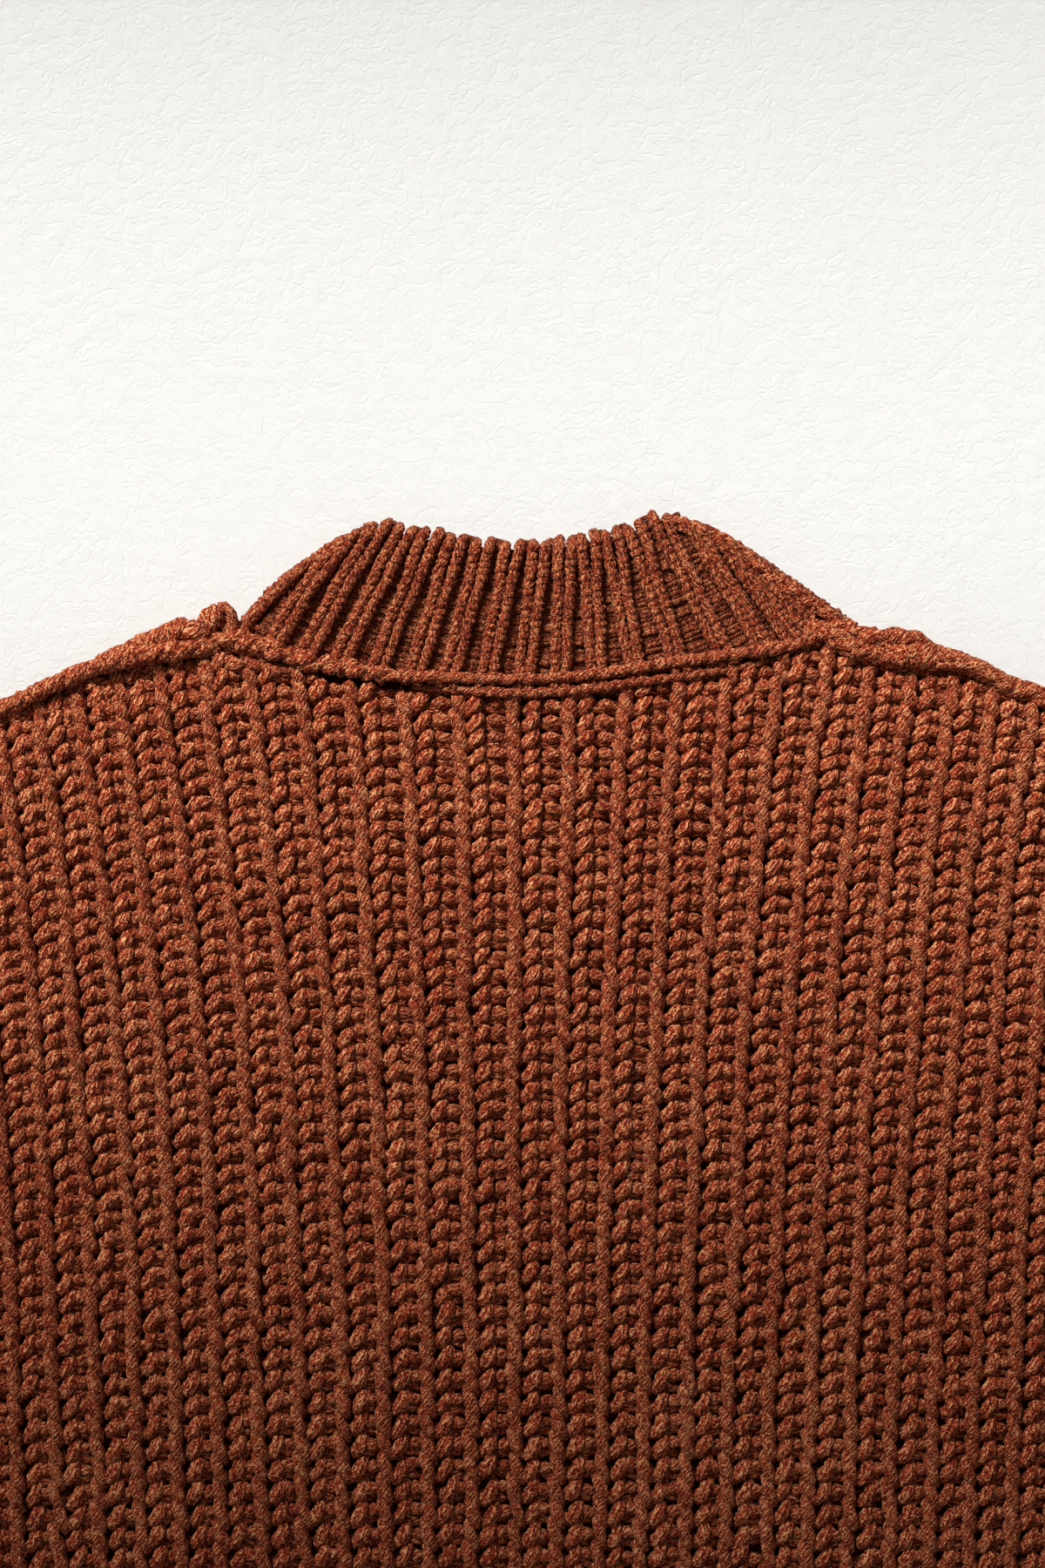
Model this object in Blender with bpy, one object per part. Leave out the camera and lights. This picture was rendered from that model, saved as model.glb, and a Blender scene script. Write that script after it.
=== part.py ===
"""Chunky ribbed pullover with a mock neck, laid face down on a flat surface.

The front panel lies on the surface, the back panel lies on the front, and the sleeves and the
collar are flattened tubes beside them. Knit ribs stand proud of their upper faces. The neck and
shoulder seams are sewn outwards, so their allowances show as rolled ridges.

Axes: +X to the right and +Y towards the collar, both along the surface, +Z up from it. The
origin is at the middle of the garment's outline, on the surface.
"""

import math

import bmesh
import bpy

MM = 0.001  # the sizes below are in millimetres, and meshes are made in metres

# Layers, from the surface up
GAP = 0.3  # clearance between two pieces at a seam
LAYER = 5.0  # one knitted layer, measured in a valley between two ribs
LINING_GAP = 1.0  # slack inside a flattened sleeve or collar
UPPER_FACE = 2 * LAYER + 0.6  # height of the valleys on the upper side
RIB_HEIGHT = 2.2  # how far a rib stands above its valleys
RIB_FLANK = 0.24  # where a rib's crest starts and ends, as a share of the pitch from its middle
HALVINGS = 40  # steps that close in on the point where a rib meets the panel's edge

# Body: ribs run from the hem to the shoulders and fan out under the neck
HEM_Y = -341.0
BODY_RIBS = 35
RIB_PITCH = 15.43
FAN_SPREAD = 25.0  # how far the outer ribs are pushed aside at the yoke
FAN_RIBS = 5.0  # ribs from the middle over which the fan opens
FAN_FADE = 175.0  # distance below the yoke over which it closes again
YOKE_Y = 237.7
ARMHOLE_GAP = 0.5  # clearance between the body's side and a sleeve
TIP_Y = 235.0  # where the shoulder line meets the sleeve
FRONT_NECK_DROP = 48.0  # how much deeper the neckline is cut at the front
BODY_ROWS = (0.14, 0.3, 0.45, 0.58, 0.67, 0.75, 0.83, 0.91)  # sections, as shares of the length
HEM_ROUND = ((0.0, 3.6, 0.4), (1.5, 1.2, 1.0), (6.0, 0.0, 1.0))  # inset, drop, rib height left
SIDE_DROPS = (3.6, 1.0)  # how far the back falls at its side, and just inside it
SIDE_STRIP = 0.09  # width of that strip along the side, in ribs
FRONT_ROUND = ((2.0, 0.0), (0.0, 1.8), (0.0, LAYER))  # inset from the front's outline, height
FRONT_HEM_STEP = 5  # ribs between two points of the front's hem

# Neck seam on the back: x, y
NECK_SEAM = (
    (-116.0, 298.0),
    (-102.0, 289.5),
    (-82.0, 283.2),
    (-50.0, 277.7),
    (0.0, 274.9),
    (40.0, 278.3),
    (80.0, 285.0),
    (110.0, 291.7),
    (127.0, 298.5),
)

# Shoulder ridges: x, y of the outer edge, width across the ridge
LEFT_SHOULDER = (
    (-116.0, 303.5, 12.0),
    (-134.0, 299.0, 12.0),
    (-160.0, 288.3, 10.5),
    (-200.0, 271.0, 8.5),
    (-246.0, 253.0, 8.0),
    (-294.0, TIP_Y, 7.0),
)
RIGHT_SHOULDER = (
    (130.0, 298.5, 10.0),
    (146.0, 297.0, 13.5),
    (162.0, 291.3, 11.0),
    (180.0, 285.0, 9.5),
    (200.0, 276.0, 8.5),
    (246.0, 255.0, 8.0),
    (294.0, TIP_Y, 7.0),
)
RIDGE_HEIGHT = 14.0  # height of the shoulder ridges above the surface
RIDGE_PROFILE = (  # across the ridge from the panel's side, height, as shares of both
    (0.03, 0.0),
    (0.03, 0.5),
    (0.2, 0.86),
    (0.5, 1.0),
    (0.8, 0.86),
    (1.0, 0.45),
    (0.93, 0.0),
)
RIDGE_STEPS = 16
RIDGE_END = 0.86  # share of the height left at a shoulder ridge's ends
NECK_RIDGE = 5.4  # thickness of the rolled neck seam
NECK_RIDGE_INSET = 3.0  # distance from the neck seam's ends to the roll's
NECK_RIDGE_END = 0.7  # share of the roll's thickness left at its ends
NECK_RIDGE_SIDES = 8
NECK_RIDGE_STEPS = 36
SEAM_FLAT = ((8.5, 1.0), (3.6, 0.0), (0.0, 0.0))  # distance from the neck seam, rib height left

# Collar: share of the way round, x on the neck seam, x and y on the cast-off edge
COLLAR_RIBS = 16
COLLAR_LINES = (
    (0.00, -110.7, -73.0, 328.5),
    (0.12, -86.0, -55.0, 338.5),
    (0.25, -58.5, -35.0, 334.5),
    (0.50, -1.5, 6.5, 330.5),
    (0.75, 59.5, 42.5, 338.0),
    (0.84, 80.0, 55.0, 341.0),
    (0.92, 101.0, 67.0, 338.0),
    (1.00, 126.0, 83.5, 328.5),
)
COLLAR_EDGE_DROP = 14.0  # how much lower the front layer of the collar ends
# Sections of the collar: share of the way up, rib height there
COLLAR_SECTIONS = ((0.0, 0.0), (0.07, 0.0), (0.15, 0.8), (0.4, 0.8), (0.7, 0.8), (1.0, 0.8))
COLLAR_UNDER_COLUMNS = 22
COLLAR_SAMPLES = 40  # chords that measure the way round the collar

# Sleeves: the two folded edges, each a curve through four control points (x, y)
SLEEVE_RIBS = 14
SLEEVE_TOP = ((295.3, 234.0), (430.0, 178.0), (545.0, 75.0), (651.0, -22.0))
SLEEVE_UNDER = ((277.5, 10.0), (375.0, -8.0), (485.0, -62.0), (585.0, -127.0))
SLEEVE_SECTIONS = (0.0, 0.14, 0.32, 0.5, 0.68, 0.85, 1.0)
SLEEVE_UNDER_COLUMNS = 3
ARMHOLE_FADE = 6  # power at which the bow of the armhole dies away down the sleeve

# Round of a folded edge: inset from the edge, height. The last is where the layers are full.
FOLD_LOW = ((2.4, 0.0), (0.3, 2.2))
FOLD_HIGH = ((0.0, 6.2), (1.6, 9.2))
FOLD_INNER = 5.5  # inset of the slack inside a tube

RUST = (0.235, 0.052, 0.019, 1.0)
RUST_SEAM = (0.215, 0.046, 0.017, 1.0)


def table(rows, x, column=1):
    """Reads a smooth curve through a table's first column and another of its columns."""
    xs = [row[0] for row in rows]
    ys = [row[column] for row in rows]
    x = min(max(x, xs[0]), xs[-1])
    i = max(k for k in range(len(xs) - 1) if xs[k] <= x)
    steps = [(ys[k + 1] - ys[k]) / (xs[k + 1] - xs[k]) for k in range(len(xs) - 1)]
    ends = []
    for k in (i, i + 1):
        before = steps[max(k - 1, 0)]
        after = steps[min(k, len(steps) - 1)]
        level = before * after <= 0
        ends.append(0.0 if level else 2 * before * after / (before + after))
    width = xs[i + 1] - xs[i]
    t = (x - xs[i]) / width
    rise = (1 + 2 * t) * (1 - t) ** 2 * ys[i] + t * t * (3 - 2 * t) * ys[i + 1]
    return rise + width * (t * (1 - t) ** 2 * ends[0] - t * t * (1 - t) * ends[1])


def bezier(points, t):
    """A point on the cubic curve of four control points."""
    weights = ((1 - t) ** 3, 3 * t * (1 - t) ** 2, 3 * t * t * (1 - t), t**3)
    return tuple(sum(w * p[k] for w, p in zip(weights, points)) for k in (0, 1))


def mix(a, b, t):
    """The point a share t of the way from a to b."""
    return tuple(p + t * (q - p) for p, q in zip(a, b))


# ---------------------------------------------------------------------------- body outline
def rib_x(rib, y):
    """Where rib number rib, counted from the middle, crosses height y."""
    spread = FAN_SPREAD * math.exp((y - YOKE_Y) / FAN_FADE)
    return RIB_PITCH * rib + spread * math.tanh(rib / FAN_RIBS)


def side_x(y):
    """Half the body's width at height y: its sides follow the outermost valleys."""
    return rib_x(BODY_RIBS / 2, y)


def neck_dip(x):
    """Share of a drop that falls at x along the neck seam: none at its ends, all midway."""
    left, right = COLLAR_LINES[0][1], COLLAR_LINES[-1][1]
    across = min(1.0, abs((2 * x - left - right) / (right - left)))
    return (1 - across * across) ** 2


def panel_top(x, neck_drop=0.0):
    """Upper edge of a body panel: the neckline, and the shoulders inside their ridges."""
    if NECK_SEAM[0][0] < x < NECK_SEAM[-1][0]:
        return table(NECK_SEAM, x) - GAP - neck_drop * neck_dip(x)
    rows = LEFT_SHOULDER[::-1] if x < 0 else RIGHT_SHOULDER
    return table(rows, x, 1) - table(rows, x, 2) - GAP


def column_top(rib, neck_drop=0.0):
    """Height at which a rib line meets the panel's upper edge."""
    y = TIP_Y
    for _ in range(HALVINGS):
        y = 0.5 * (y + panel_top(rib_x(rib, y), neck_drop))
    return y


def rib_columns(ribs, half):
    """(position, crest) pairs across a ribbed face: each rib has a crest between two valleys."""
    columns = [(-half, 0)]
    for k in range(ribs):
        middle = -half + 0.5 + k
        columns += [(middle - RIB_FLANK, 1), (middle + RIB_FLANK, 1), (middle + 0.5, 0)]
    return columns


# ---------------------------------------------------------------------------- meshes
def make_object(name, vertices, faces, colour=RUST):
    """Links a closed mesh, given in millimetres, as an object with its own material."""
    mesh = bpy.data.meshes.new(name)
    mesh.from_pydata([tuple(c * MM for c in v) for v in vertices], [], faces)
    work = bmesh.new()
    work.from_mesh(mesh)
    bmesh.ops.recalc_face_normals(work, faces=work.faces)
    work.to_mesh(mesh)
    work.free()
    material = bpy.data.materials.new(name)
    material.use_nodes = True
    shader = material.node_tree.nodes["Principled BSDF"]
    shader.inputs["Base Color"].default_value = colour
    shader.inputs["Roughness"].default_value = 0.9
    shader.inputs["Metallic"].default_value = 0.0
    mesh.materials.append(material)
    mesh.update()
    obj = bpy.data.objects.new(name, mesh)
    bpy.context.scene.collection.objects.link(obj)
    return obj


def tube_faces(outer, inner):
    """Vertices and faces of an open tube from matching lists of outer and inner rings."""
    count, rings = len(outer[0]), len(outer)
    vertices = [p for ring in outer + inner for p in ring]
    faces = []
    for side in (0, rings):
        for i in range(rings - 1):
            a, b = (side + i) * count, (side + i + 1) * count
            for j in range(count):
                k = (j + 1) % count
                faces.append((a + j, a + k, b + k, b + j))
    for end in (0, rings - 1):
        a, b = end * count, (rings + end) * count
        for j in range(count):
            k = (j + 1) % count
            faces.append((a + j, a + k, b + k, b + j))
    return vertices, faces


def rod_faces(rings):
    """Vertices and faces of a solid rod from its rings, with closed ends."""
    count = len(rings[0])
    vertices = [p for ring in rings for p in ring]
    faces = [tuple(range(count)), tuple((len(rings) - 1) * count + j for j in range(count))]
    for i in range(len(rings) - 1):
        a, b = i * count, (i + 1) * count
        for j in range(count):
            k = (j + 1) % count
            faces.append((a + j, a + k, b + k, b + j))
    return vertices, faces


# ---------------------------------------------------------------------------- body panels
def back_panel():
    """The back: ribbed above, flat below, with a rounded hem and sides."""
    half = BODY_RIBS / 2
    columns = rib_columns(BODY_RIBS, half)
    columns[1:1] = [(-half + SIDE_STRIP, 0)]
    columns[-1:-1] = [(half - SIDE_STRIP, 0)]
    side_drop = {}
    for j, drop in enumerate(SIDE_DROPS):
        side_drop[j] = drop
        side_drop[len(columns) - 1 - j] = drop
    grid = []
    for j, (rib, crest) in enumerate(columns):
        top = column_top(rib)
        x_top = rib_x(rib, top)
        under_neck = NECK_SEAM[0][0] < x_top < NECK_SEAM[-1][0]
        length = top - HEM_Y
        stations = [(HEM_Y + inset, drop, relief) for inset, drop, relief in HEM_ROUND]
        stations += [(HEM_Y + share * length, 0.0, 1.0) for share in BODY_ROWS]
        for inset, relief in SEAM_FLAT:
            stations.append((top - inset, 0.0, relief if under_neck else 1.0))
        column = []
        for y, drop, relief in stations:
            fall = max(drop, side_drop.get(j, 0.0))
            raised = RIB_HEIGHT * crest * relief
            column.append((rib_x(rib, y), y, UPPER_FACE + raised - fall))
        grid.append(column)
    wide, tall = len(grid), len(grid[0])
    under = LAYER + GAP
    vertices = [p for column in grid for p in column]
    rim = [(j, 0) for j in range(wide)] + [(wide - 1, i) for i in range(1, tall)]
    rim += [(j, tall - 1) for j in range(wide - 2, -1, -1)] + [(0, i) for i in range(tall - 2, 0, -1)]
    low = []
    for j, i in rim:
        x, y, _ = grid[j][i]
        low.append(len(vertices))
        vertices.append((x, y, under))
    faces = []
    for j in range(wide - 1):
        for i in range(tall - 1):
            a = j * tall + i
            faces.append((a, a + tall, a + tall + 1, a + 1))
    for k in range(len(rim)):
        m = (k + 1) % len(rim)
        a, b = (rim[n][0] * tall + rim[n][1] for n in (k, m))
        faces.append((a, low[k], low[m], b))
    faces.append(tuple(low))
    return make_object("back", vertices, faces)


def front_panel():
    """The front: flat on the surface, with its lower edge rounded and a deeper neckline."""
    outline = []
    half = BODY_RIBS / 2
    ribs = [-half + k for k in range(BODY_RIBS + 1)]
    outline += [(rib_x(rib, HEM_Y), HEM_Y) for rib in ribs[::FRONT_HEM_STEP]]
    heights = [HEM_Y + (column_top(half) - HEM_Y) * share for share in BODY_ROWS]
    outline += [(side_x(y), y) for y in heights]
    for rib, _ in reversed(rib_columns(BODY_RIBS, half)):
        y = column_top(rib, FRONT_NECK_DROP)
        outline.append((rib_x(rib, y), y))
    outline += [(-side_x(y), y) for y in heights[::-1]]
    rings = []
    for inset, height in FRONT_ROUND:
        ring = []
        for k, (x, y) in enumerate(outline):
            before, after = outline[k - 1], outline[(k + 1) % len(outline)]
            dx, dy = after[0] - before[0], after[1] - before[1]
            run = math.hypot(dx, dy)
            ring.append((x - inset * dy / run, y + inset * dx / run, height))
        rings.append(ring)
    vertices, faces = rod_faces(rings)
    return make_object("front", vertices, faces)


# ---------------------------------------------------------------------------- tubes
def tube_ring(ribs, width, upper, lower, relief, under_columns):
    """Outer and inner ring of a flattened tube, from its folded edges and its plan.

    width is the tube's width there; upper(d) and lower(d) give the plan point at a distance d
    from the left fold, on the layer above and below; under_columns points lie underneath.
    """
    pitch = width / ribs
    ring = [(d, z, upper, True) for d, z in FOLD_HIGH]
    for place, crest in rib_columns(ribs, ribs / 2)[1:-1]:
        ring.append(((place + ribs / 2) * pitch, UPPER_FACE + RIB_HEIGHT * crest * relief, upper, True))
    ring += [(width - d, z, upper, True) for d, z in FOLD_HIGH[::-1]]
    ring += [(width - d, z, lower, False) for d, z in FOLD_LOW[::-1]]
    spacing = width / (under_columns + 1)
    ring += [(spacing * k, 0.0, lower, False) for k in range(under_columns, 0, -1)]
    ring += [(d, z, lower, False) for d, z in FOLD_LOW]
    outer, inner = [], []
    for d, z, plan, above in ring:
        outer.append((*plan(d), z))
        inset = FOLD_INNER + (width - 2 * FOLD_INNER) * d / width
        inner.append((*plan(inset), LAYER + (LINING_GAP if above else 0.0)))
    return outer, inner


def sleeve(name, side):
    """A sleeve, flattened into a tube from the armhole to the cuff."""
    outer, inner = [], []
    for t in SLEEVE_SECTIONS:
        top, under = bezier(SLEEVE_TOP, t), bezier(SLEEVE_UNDER, t)
        width = math.dist(top, under)
        follow = (1 - t) ** ARMHOLE_FADE

        def plan(d, top=top, under=under, width=width, follow=follow):
            x, y = mix(top, under, d / width)
            seam_x, seam_y = mix(SLEEVE_TOP[0], SLEEVE_UNDER[0], d / width)
            bow = side_x(seam_y) + ARMHOLE_GAP - seam_x
            return side * (x + follow * bow), y

        a, b = tube_ring(SLEEVE_RIBS, width, plan, plan, 1.0, SLEEVE_UNDER_COLUMNS)
        outer.append(a)
        inner.append(b)
    vertices, faces = tube_faces(outer, inner)
    return make_object(name, vertices, faces)


def collar():
    """The mock neck: a flattened tube from the neck seam to its cast-off edge."""
    outer, inner = [], []
    for t, relief in COLLAR_SECTIONS:
        samples = [collar_point(k / COLLAR_SAMPLES, t) for k in range(COLLAR_SAMPLES + 1)]
        width = sum(math.dist(a, b) for a, b in zip(samples, samples[1:]))

        def upper(d, t=t, width=width):
            return collar_point(d / width, t)

        def lower(d, t=t, width=width):
            x, y = collar_point(d / width, t)
            drop = FRONT_NECK_DROP * (1 - t) + COLLAR_EDGE_DROP * t
            return x, y - drop * neck_dip(table(COLLAR_LINES, d / width, 1))

        a, b = tube_ring(COLLAR_RIBS, width, upper, lower, relief, COLLAR_UNDER_COLUMNS)
        outer.append(a)
        inner.append(b)
    vertices, faces = tube_faces(outer, inner)
    return make_object("collar", vertices, faces)


def collar_point(u, t):
    """Plan point a share u of the way round the collar and t of the way up it."""
    seam_x = table(COLLAR_LINES, u, 1)
    seam = (seam_x, table(NECK_SEAM, seam_x) + GAP)
    edge = (table(COLLAR_LINES, u, 2), table(COLLAR_LINES, u, 3))
    return mix(seam, edge, t)


# ---------------------------------------------------------------------------- seam ridges
def shoulder_ridge(name, rows):
    """A shoulder seam's allowances, rolled outwards and flat where they rest."""
    first, last = rows[0][0], rows[-1][0]
    ordered = rows if first < last else rows[::-1]
    rings = []
    for k in range(RIDGE_STEPS + 1):
        x = first + (last - first) * k / RIDGE_STEPS
        y, width = table(ordered, x, 1), table(ordered, x, 2)
        rise = RIDGE_HEIGHT * (RIDGE_END if k in (0, RIDGE_STEPS) else 1.0)
        base = y - width
        rings.append([(x, base + width * across, rise * up) for across, up in RIDGE_PROFILE])
    vertices, faces = rod_faces(rings)
    return make_object(name, vertices, faces, RUST_SEAM)


def neck_ridge():
    """The neck seam's allowances, rolled into a cord that lies on the back and the collar."""
    first, last = NECK_SEAM[0][0] + NECK_RIDGE_INSET, NECK_SEAM[-1][0] - NECK_RIDGE_INSET
    radius = NECK_RIDGE / 2
    lift = UPPER_FACE + GAP + radius * math.cos(math.pi / NECK_RIDGE_SIDES)
    rings = []
    for k in range(NECK_RIDGE_STEPS + 1):
        x = first + (last - first) * k / NECK_RIDGE_STEPS
        run = 1.0
        slope = (table(NECK_SEAM, x + run) - table(NECK_SEAM, x - run)) / (2 * run)
        length = math.hypot(1.0, slope)
        across = (-slope / length, 1.0 / length)
        size = radius * (NECK_RIDGE_END if k in (0, NECK_RIDGE_STEPS) else 1.0)
        ring = []
        for j in range(NECK_RIDGE_SIDES):
            angle = 2 * math.pi * (j + 0.5) / NECK_RIDGE_SIDES
            out, up = size * math.cos(angle), size * math.sin(angle)
            ring.append((x + across[0] * out, table(NECK_SEAM, x) + across[1] * out, lift + up))
        rings.append(ring)
    vertices, faces = rod_faces(rings)
    return make_object("neck_seam_ridge", vertices, faces, RUST_SEAM)


def main():
    """Clear the scene and build every sewn piece of the pullover."""
    for obj in list(bpy.data.objects):
        bpy.data.objects.remove(obj)
    front_panel()
    back_panel()
    sleeve("sleeve_right", 1)
    sleeve("sleeve_left", -1)
    collar()
    neck_ridge()
    shoulder_ridge("shoulder_ridge_left", LEFT_SHOULDER)
    shoulder_ridge("shoulder_ridge_right", RIGHT_SHOULDER)


main()
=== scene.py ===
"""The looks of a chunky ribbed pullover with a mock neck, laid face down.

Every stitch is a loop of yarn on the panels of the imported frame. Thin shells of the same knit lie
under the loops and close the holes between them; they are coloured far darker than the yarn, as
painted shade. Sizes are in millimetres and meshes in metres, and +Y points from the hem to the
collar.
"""

import logging
import math
from abc import ABC, abstractmethod
from collections.abc import Callable, Sequence
from dataclasses import dataclass, field
from enum import Enum

import bpy
import numpy as np
from mathutils import Matrix, Vector


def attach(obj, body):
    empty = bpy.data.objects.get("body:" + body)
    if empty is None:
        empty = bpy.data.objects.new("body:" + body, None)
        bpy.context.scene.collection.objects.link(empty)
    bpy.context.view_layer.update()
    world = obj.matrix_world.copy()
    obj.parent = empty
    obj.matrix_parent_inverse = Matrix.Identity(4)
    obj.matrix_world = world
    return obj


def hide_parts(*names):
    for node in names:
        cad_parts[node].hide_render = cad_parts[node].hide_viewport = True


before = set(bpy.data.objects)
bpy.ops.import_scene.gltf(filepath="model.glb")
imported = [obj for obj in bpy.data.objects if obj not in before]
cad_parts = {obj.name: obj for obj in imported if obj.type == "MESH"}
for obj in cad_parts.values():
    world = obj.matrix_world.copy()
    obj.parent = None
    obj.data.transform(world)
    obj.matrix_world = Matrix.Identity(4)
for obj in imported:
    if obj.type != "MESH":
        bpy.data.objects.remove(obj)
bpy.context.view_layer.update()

MM = 0.001
LOG = logging.getLogger("pullover")

Array = np.ndarray
Colour = tuple[float, float, float]
Point = tuple[float, float, float]

# Layers of the flattened garment, above the surface, from the lowest point of its yarn
SURFACE = 0.05
LAYER = 5.0
MIDDLE = 5.15
GROUND_LOW = 5.4
GROUND_HIGH = 6.1
# The least radius that the slant of the plies is worked out for
THINNEST = 0.2
# Unevenness of yarn and stitches, as one standard deviation
YARN_UNEVEN = 0.12
SIZE_UNEVEN = 0.045
ASIDE_UNEVEN = 0.45
HEIGHT_UNEVEN = 0.40
ROW_UNEVEN = 0.06
# Rolled side edges, and the rib pitch below which stitches are squeezed
ROLL_RADIUS = 5.6
ROLL_ANGLE = 0.93 * np.pi
FULL_PITCH = 15.2
# Steps that settle a panel's upper edge, and points along a panel
EDGE_STEPS = 40
PANEL_POINTS = 44

# Outline of the body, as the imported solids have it
HEM_Y = -341.0
BODY_RIBS = 35
RIB_PITCH = 15.43
TIP_Y = 235.0
UNDERARM_Y = 10.0
FRONT_NECK_DROP = 48.0
NECK_SEAM_ROWS = (
    (-116.0, 298.0),
    (-102.0, 289.5),
    (-82.0, 283.2),
    (-50.0, 277.7),
    (0.0, 274.9),
    (40.0, 278.3),
    (80.0, 285.0),
    (110.0, 291.7),
    (127.0, 298.5),
)
NECK_LEFT, NECK_RIGHT = NECK_SEAM_ROWS[0][0], NECK_SEAM_ROWS[-1][0]
# Shoulder ridges: x, y of the outer edge, width across the ridge
LEFT_SHOULDER_ROWS = (
    (-294.0, TIP_Y, 7.0),
    (-246.0, 253.0, 8.0),
    (-200.0, 271.0, 8.5),
    (-160.0, 288.3, 10.5),
    (-134.0, 299.0, 12.0),
    (-116.0, 303.5, 12.0),
)
RIGHT_SHOULDER_ROWS = (
    (130.0, 298.5, 10.0),
    (146.0, 297.0, 13.5),
    (162.0, 291.3, 11.0),
    (180.0, 285.0, 9.5),
    (200.0, 276.0, 8.5),
    (246.0, 255.0, 8.0),
    (294.0, TIP_Y, 7.0),
)
# Collar: rib, x on the neck seam, x and y on the cast-off edge
COLLAR_ROWS = (
    (-8.0, -110.7, -73.0, 328.5),
    (-7.0, -97.0, -64.5, 334.2),
    (-6.0, -84.3, -53.5, 338.5),
    (-5.0, -72.0, -44.1, 336.6),
    (-4.0, -57.1, -34.7, 334.5),
    (-3.0, -42.0, -24.8, 333.0),
    (-2.0, -28.7, -14.3, 331.7),
    (-1.0, -14.3, -3.3, 330.8),
    (0.0, 0.3, 6.7, 330.5),
    (1.0, 14.3, 16.7, 331.7),
    (2.0, 28.7, 25.2, 333.8),
    (3.0, 43.7, 33.7, 336.0),
    (4.0, 60.7, 42.2, 338.0),
    (5.0, 78.3, 51.7, 341.0),
    (6.0, 94.0, 64.0, 338.6),
    (7.0, 105.0, 75.0, 333.5),
    (8.0, 126.0, 83.5, 328.5),
)
# Sleeves: the two folded edges, each a curve through four control points
SLEEVE_TOP = ((295.3, 234.0), (430.0, 178.0), (545.0, 75.0), (651.0, -22.0))
SLEEVE_UNDER = ((277.5, 10.0), (375.0, -8.0), (485.0, -62.0), (585.0, -127.0))


class Side(Enum):
    """Left or right in the photograph, with the sign of x there."""

    LEFT = -1
    RIGHT = 1


class Detail(Enum):
    """How finely yarn is made: points in a stitch, and sides round the yarn."""

    NEAR = (24, 6)
    FAR = (12, 6)
    HEM = (12, 5)
    SLEEVE = (9, 5)

    @property
    def points(self) -> int:
        """Points along the yarn of one stitch."""
        return self.value[0]

    @property
    def sides(self) -> int:
        """Sides round the yarn."""
        return self.value[1]


# ------------------------------------------------------------------------------------ curves
@dataclass(frozen=True)
class Table:
    """A smooth curve through the rows of a short table, whose first column rises."""

    rows: tuple[tuple[float, ...], ...]

    def at(self, x: Array | float, column: int = 1) -> Array:
        """Reads one column of the table at x.

        Args:
            x: Places in the first column, held inside its range.
            column: The column to read.

        Returns:
            The values there, on a curve that never overshoots the table's own values.
        """
        grid = np.array(self.rows, float)
        xs, ys = grid[:, 0], grid[:, column]
        x = np.clip(np.asarray(x, float), xs[0], xs[-1])
        i = np.clip(np.searchsorted(xs, x, side="right") - 1, 0, len(xs) - 2)
        steps = np.diff(ys) / np.diff(xs)
        before = np.concatenate([steps[:1], steps])
        after = np.concatenate([steps, steps[-1:]])
        turn = before * after
        total = np.where(turn > 0, before + after, 1.0)
        slopes = np.where(turn > 0, 2 * turn / total, 0.0)
        width = xs[i + 1] - xs[i]
        t = (x - xs[i]) / width
        rise = (1 + 2 * t) * (1 - t) ** 2 * ys[i] + t * t * (3 - 2 * t) * ys[i + 1]
        bend = t * (1 - t) ** 2 * slopes[i] - t * t * (1 - t) * slopes[i + 1]
        return rise + width * bend


NECK_SEAM = Table(NECK_SEAM_ROWS)
LEFT_SHOULDER = Table(LEFT_SHOULDER_ROWS)
RIGHT_SHOULDER = Table(RIGHT_SHOULDER_ROWS)
COLLAR_LINES = Table(COLLAR_ROWS)


def front_drop(x: Array) -> Array:
    """Share of the front neckline's drop at x: 0 at its ends and 1 in its middle."""
    across = np.abs(2 * x - NECK_LEFT - NECK_RIGHT) / (NECK_RIGHT - NECK_LEFT)
    return (1 - np.clip(across, 0, 1) ** 2) ** 2


def bezier(points: Sequence[tuple[float, float]], t: Array) -> Array:
    """Plan points on a cubic curve of four control points, at shares t of the way."""
    t = np.asarray(t, float)
    weights = ((1 - t) ** 3, 3 * t * (1 - t) ** 2, 3 * t * t * (1 - t), t**3)
    return sum(w[..., None] * np.array(p) for w, p in zip(weights, points))


def through(points: Array, t: Array) -> Array:
    """A smooth curve through control points.

    Args:
        points: Control points, of shape (strands, points, values).
        t: Places along the curve, counted in control points.

    Returns:
        The values there, of shape (strands, places, values).
    """
    last = points.shape[1] - 1
    i = np.clip(np.floor(t).astype(int), 0, last - 1)
    f = (t - i)[None, :, None]
    a, b, c, d = (points[:, np.clip(i + k, 0, last)] for k in (-1, 0, 1, 2))
    return b + 0.5 * f * (c - a + f * (2 * a - 5 * b + 4 * c - d + f * (3 * (b - c) + d - a)))


def smooth_step(x: Array, low: float, high: float) -> Array:
    """Rises smoothly from 0 at low to 1 at high."""
    t = np.clip((np.asarray(x, float) - low) / (high - low), 0, 1)
    return t * t * (3 - 2 * t)


def unit(vectors: Array) -> Array:
    """The same directions, with a length of one."""
    length = np.linalg.norm(vectors, axis=-1, keepdims=True)
    return vectors / np.maximum(length, 1e-9)


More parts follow.
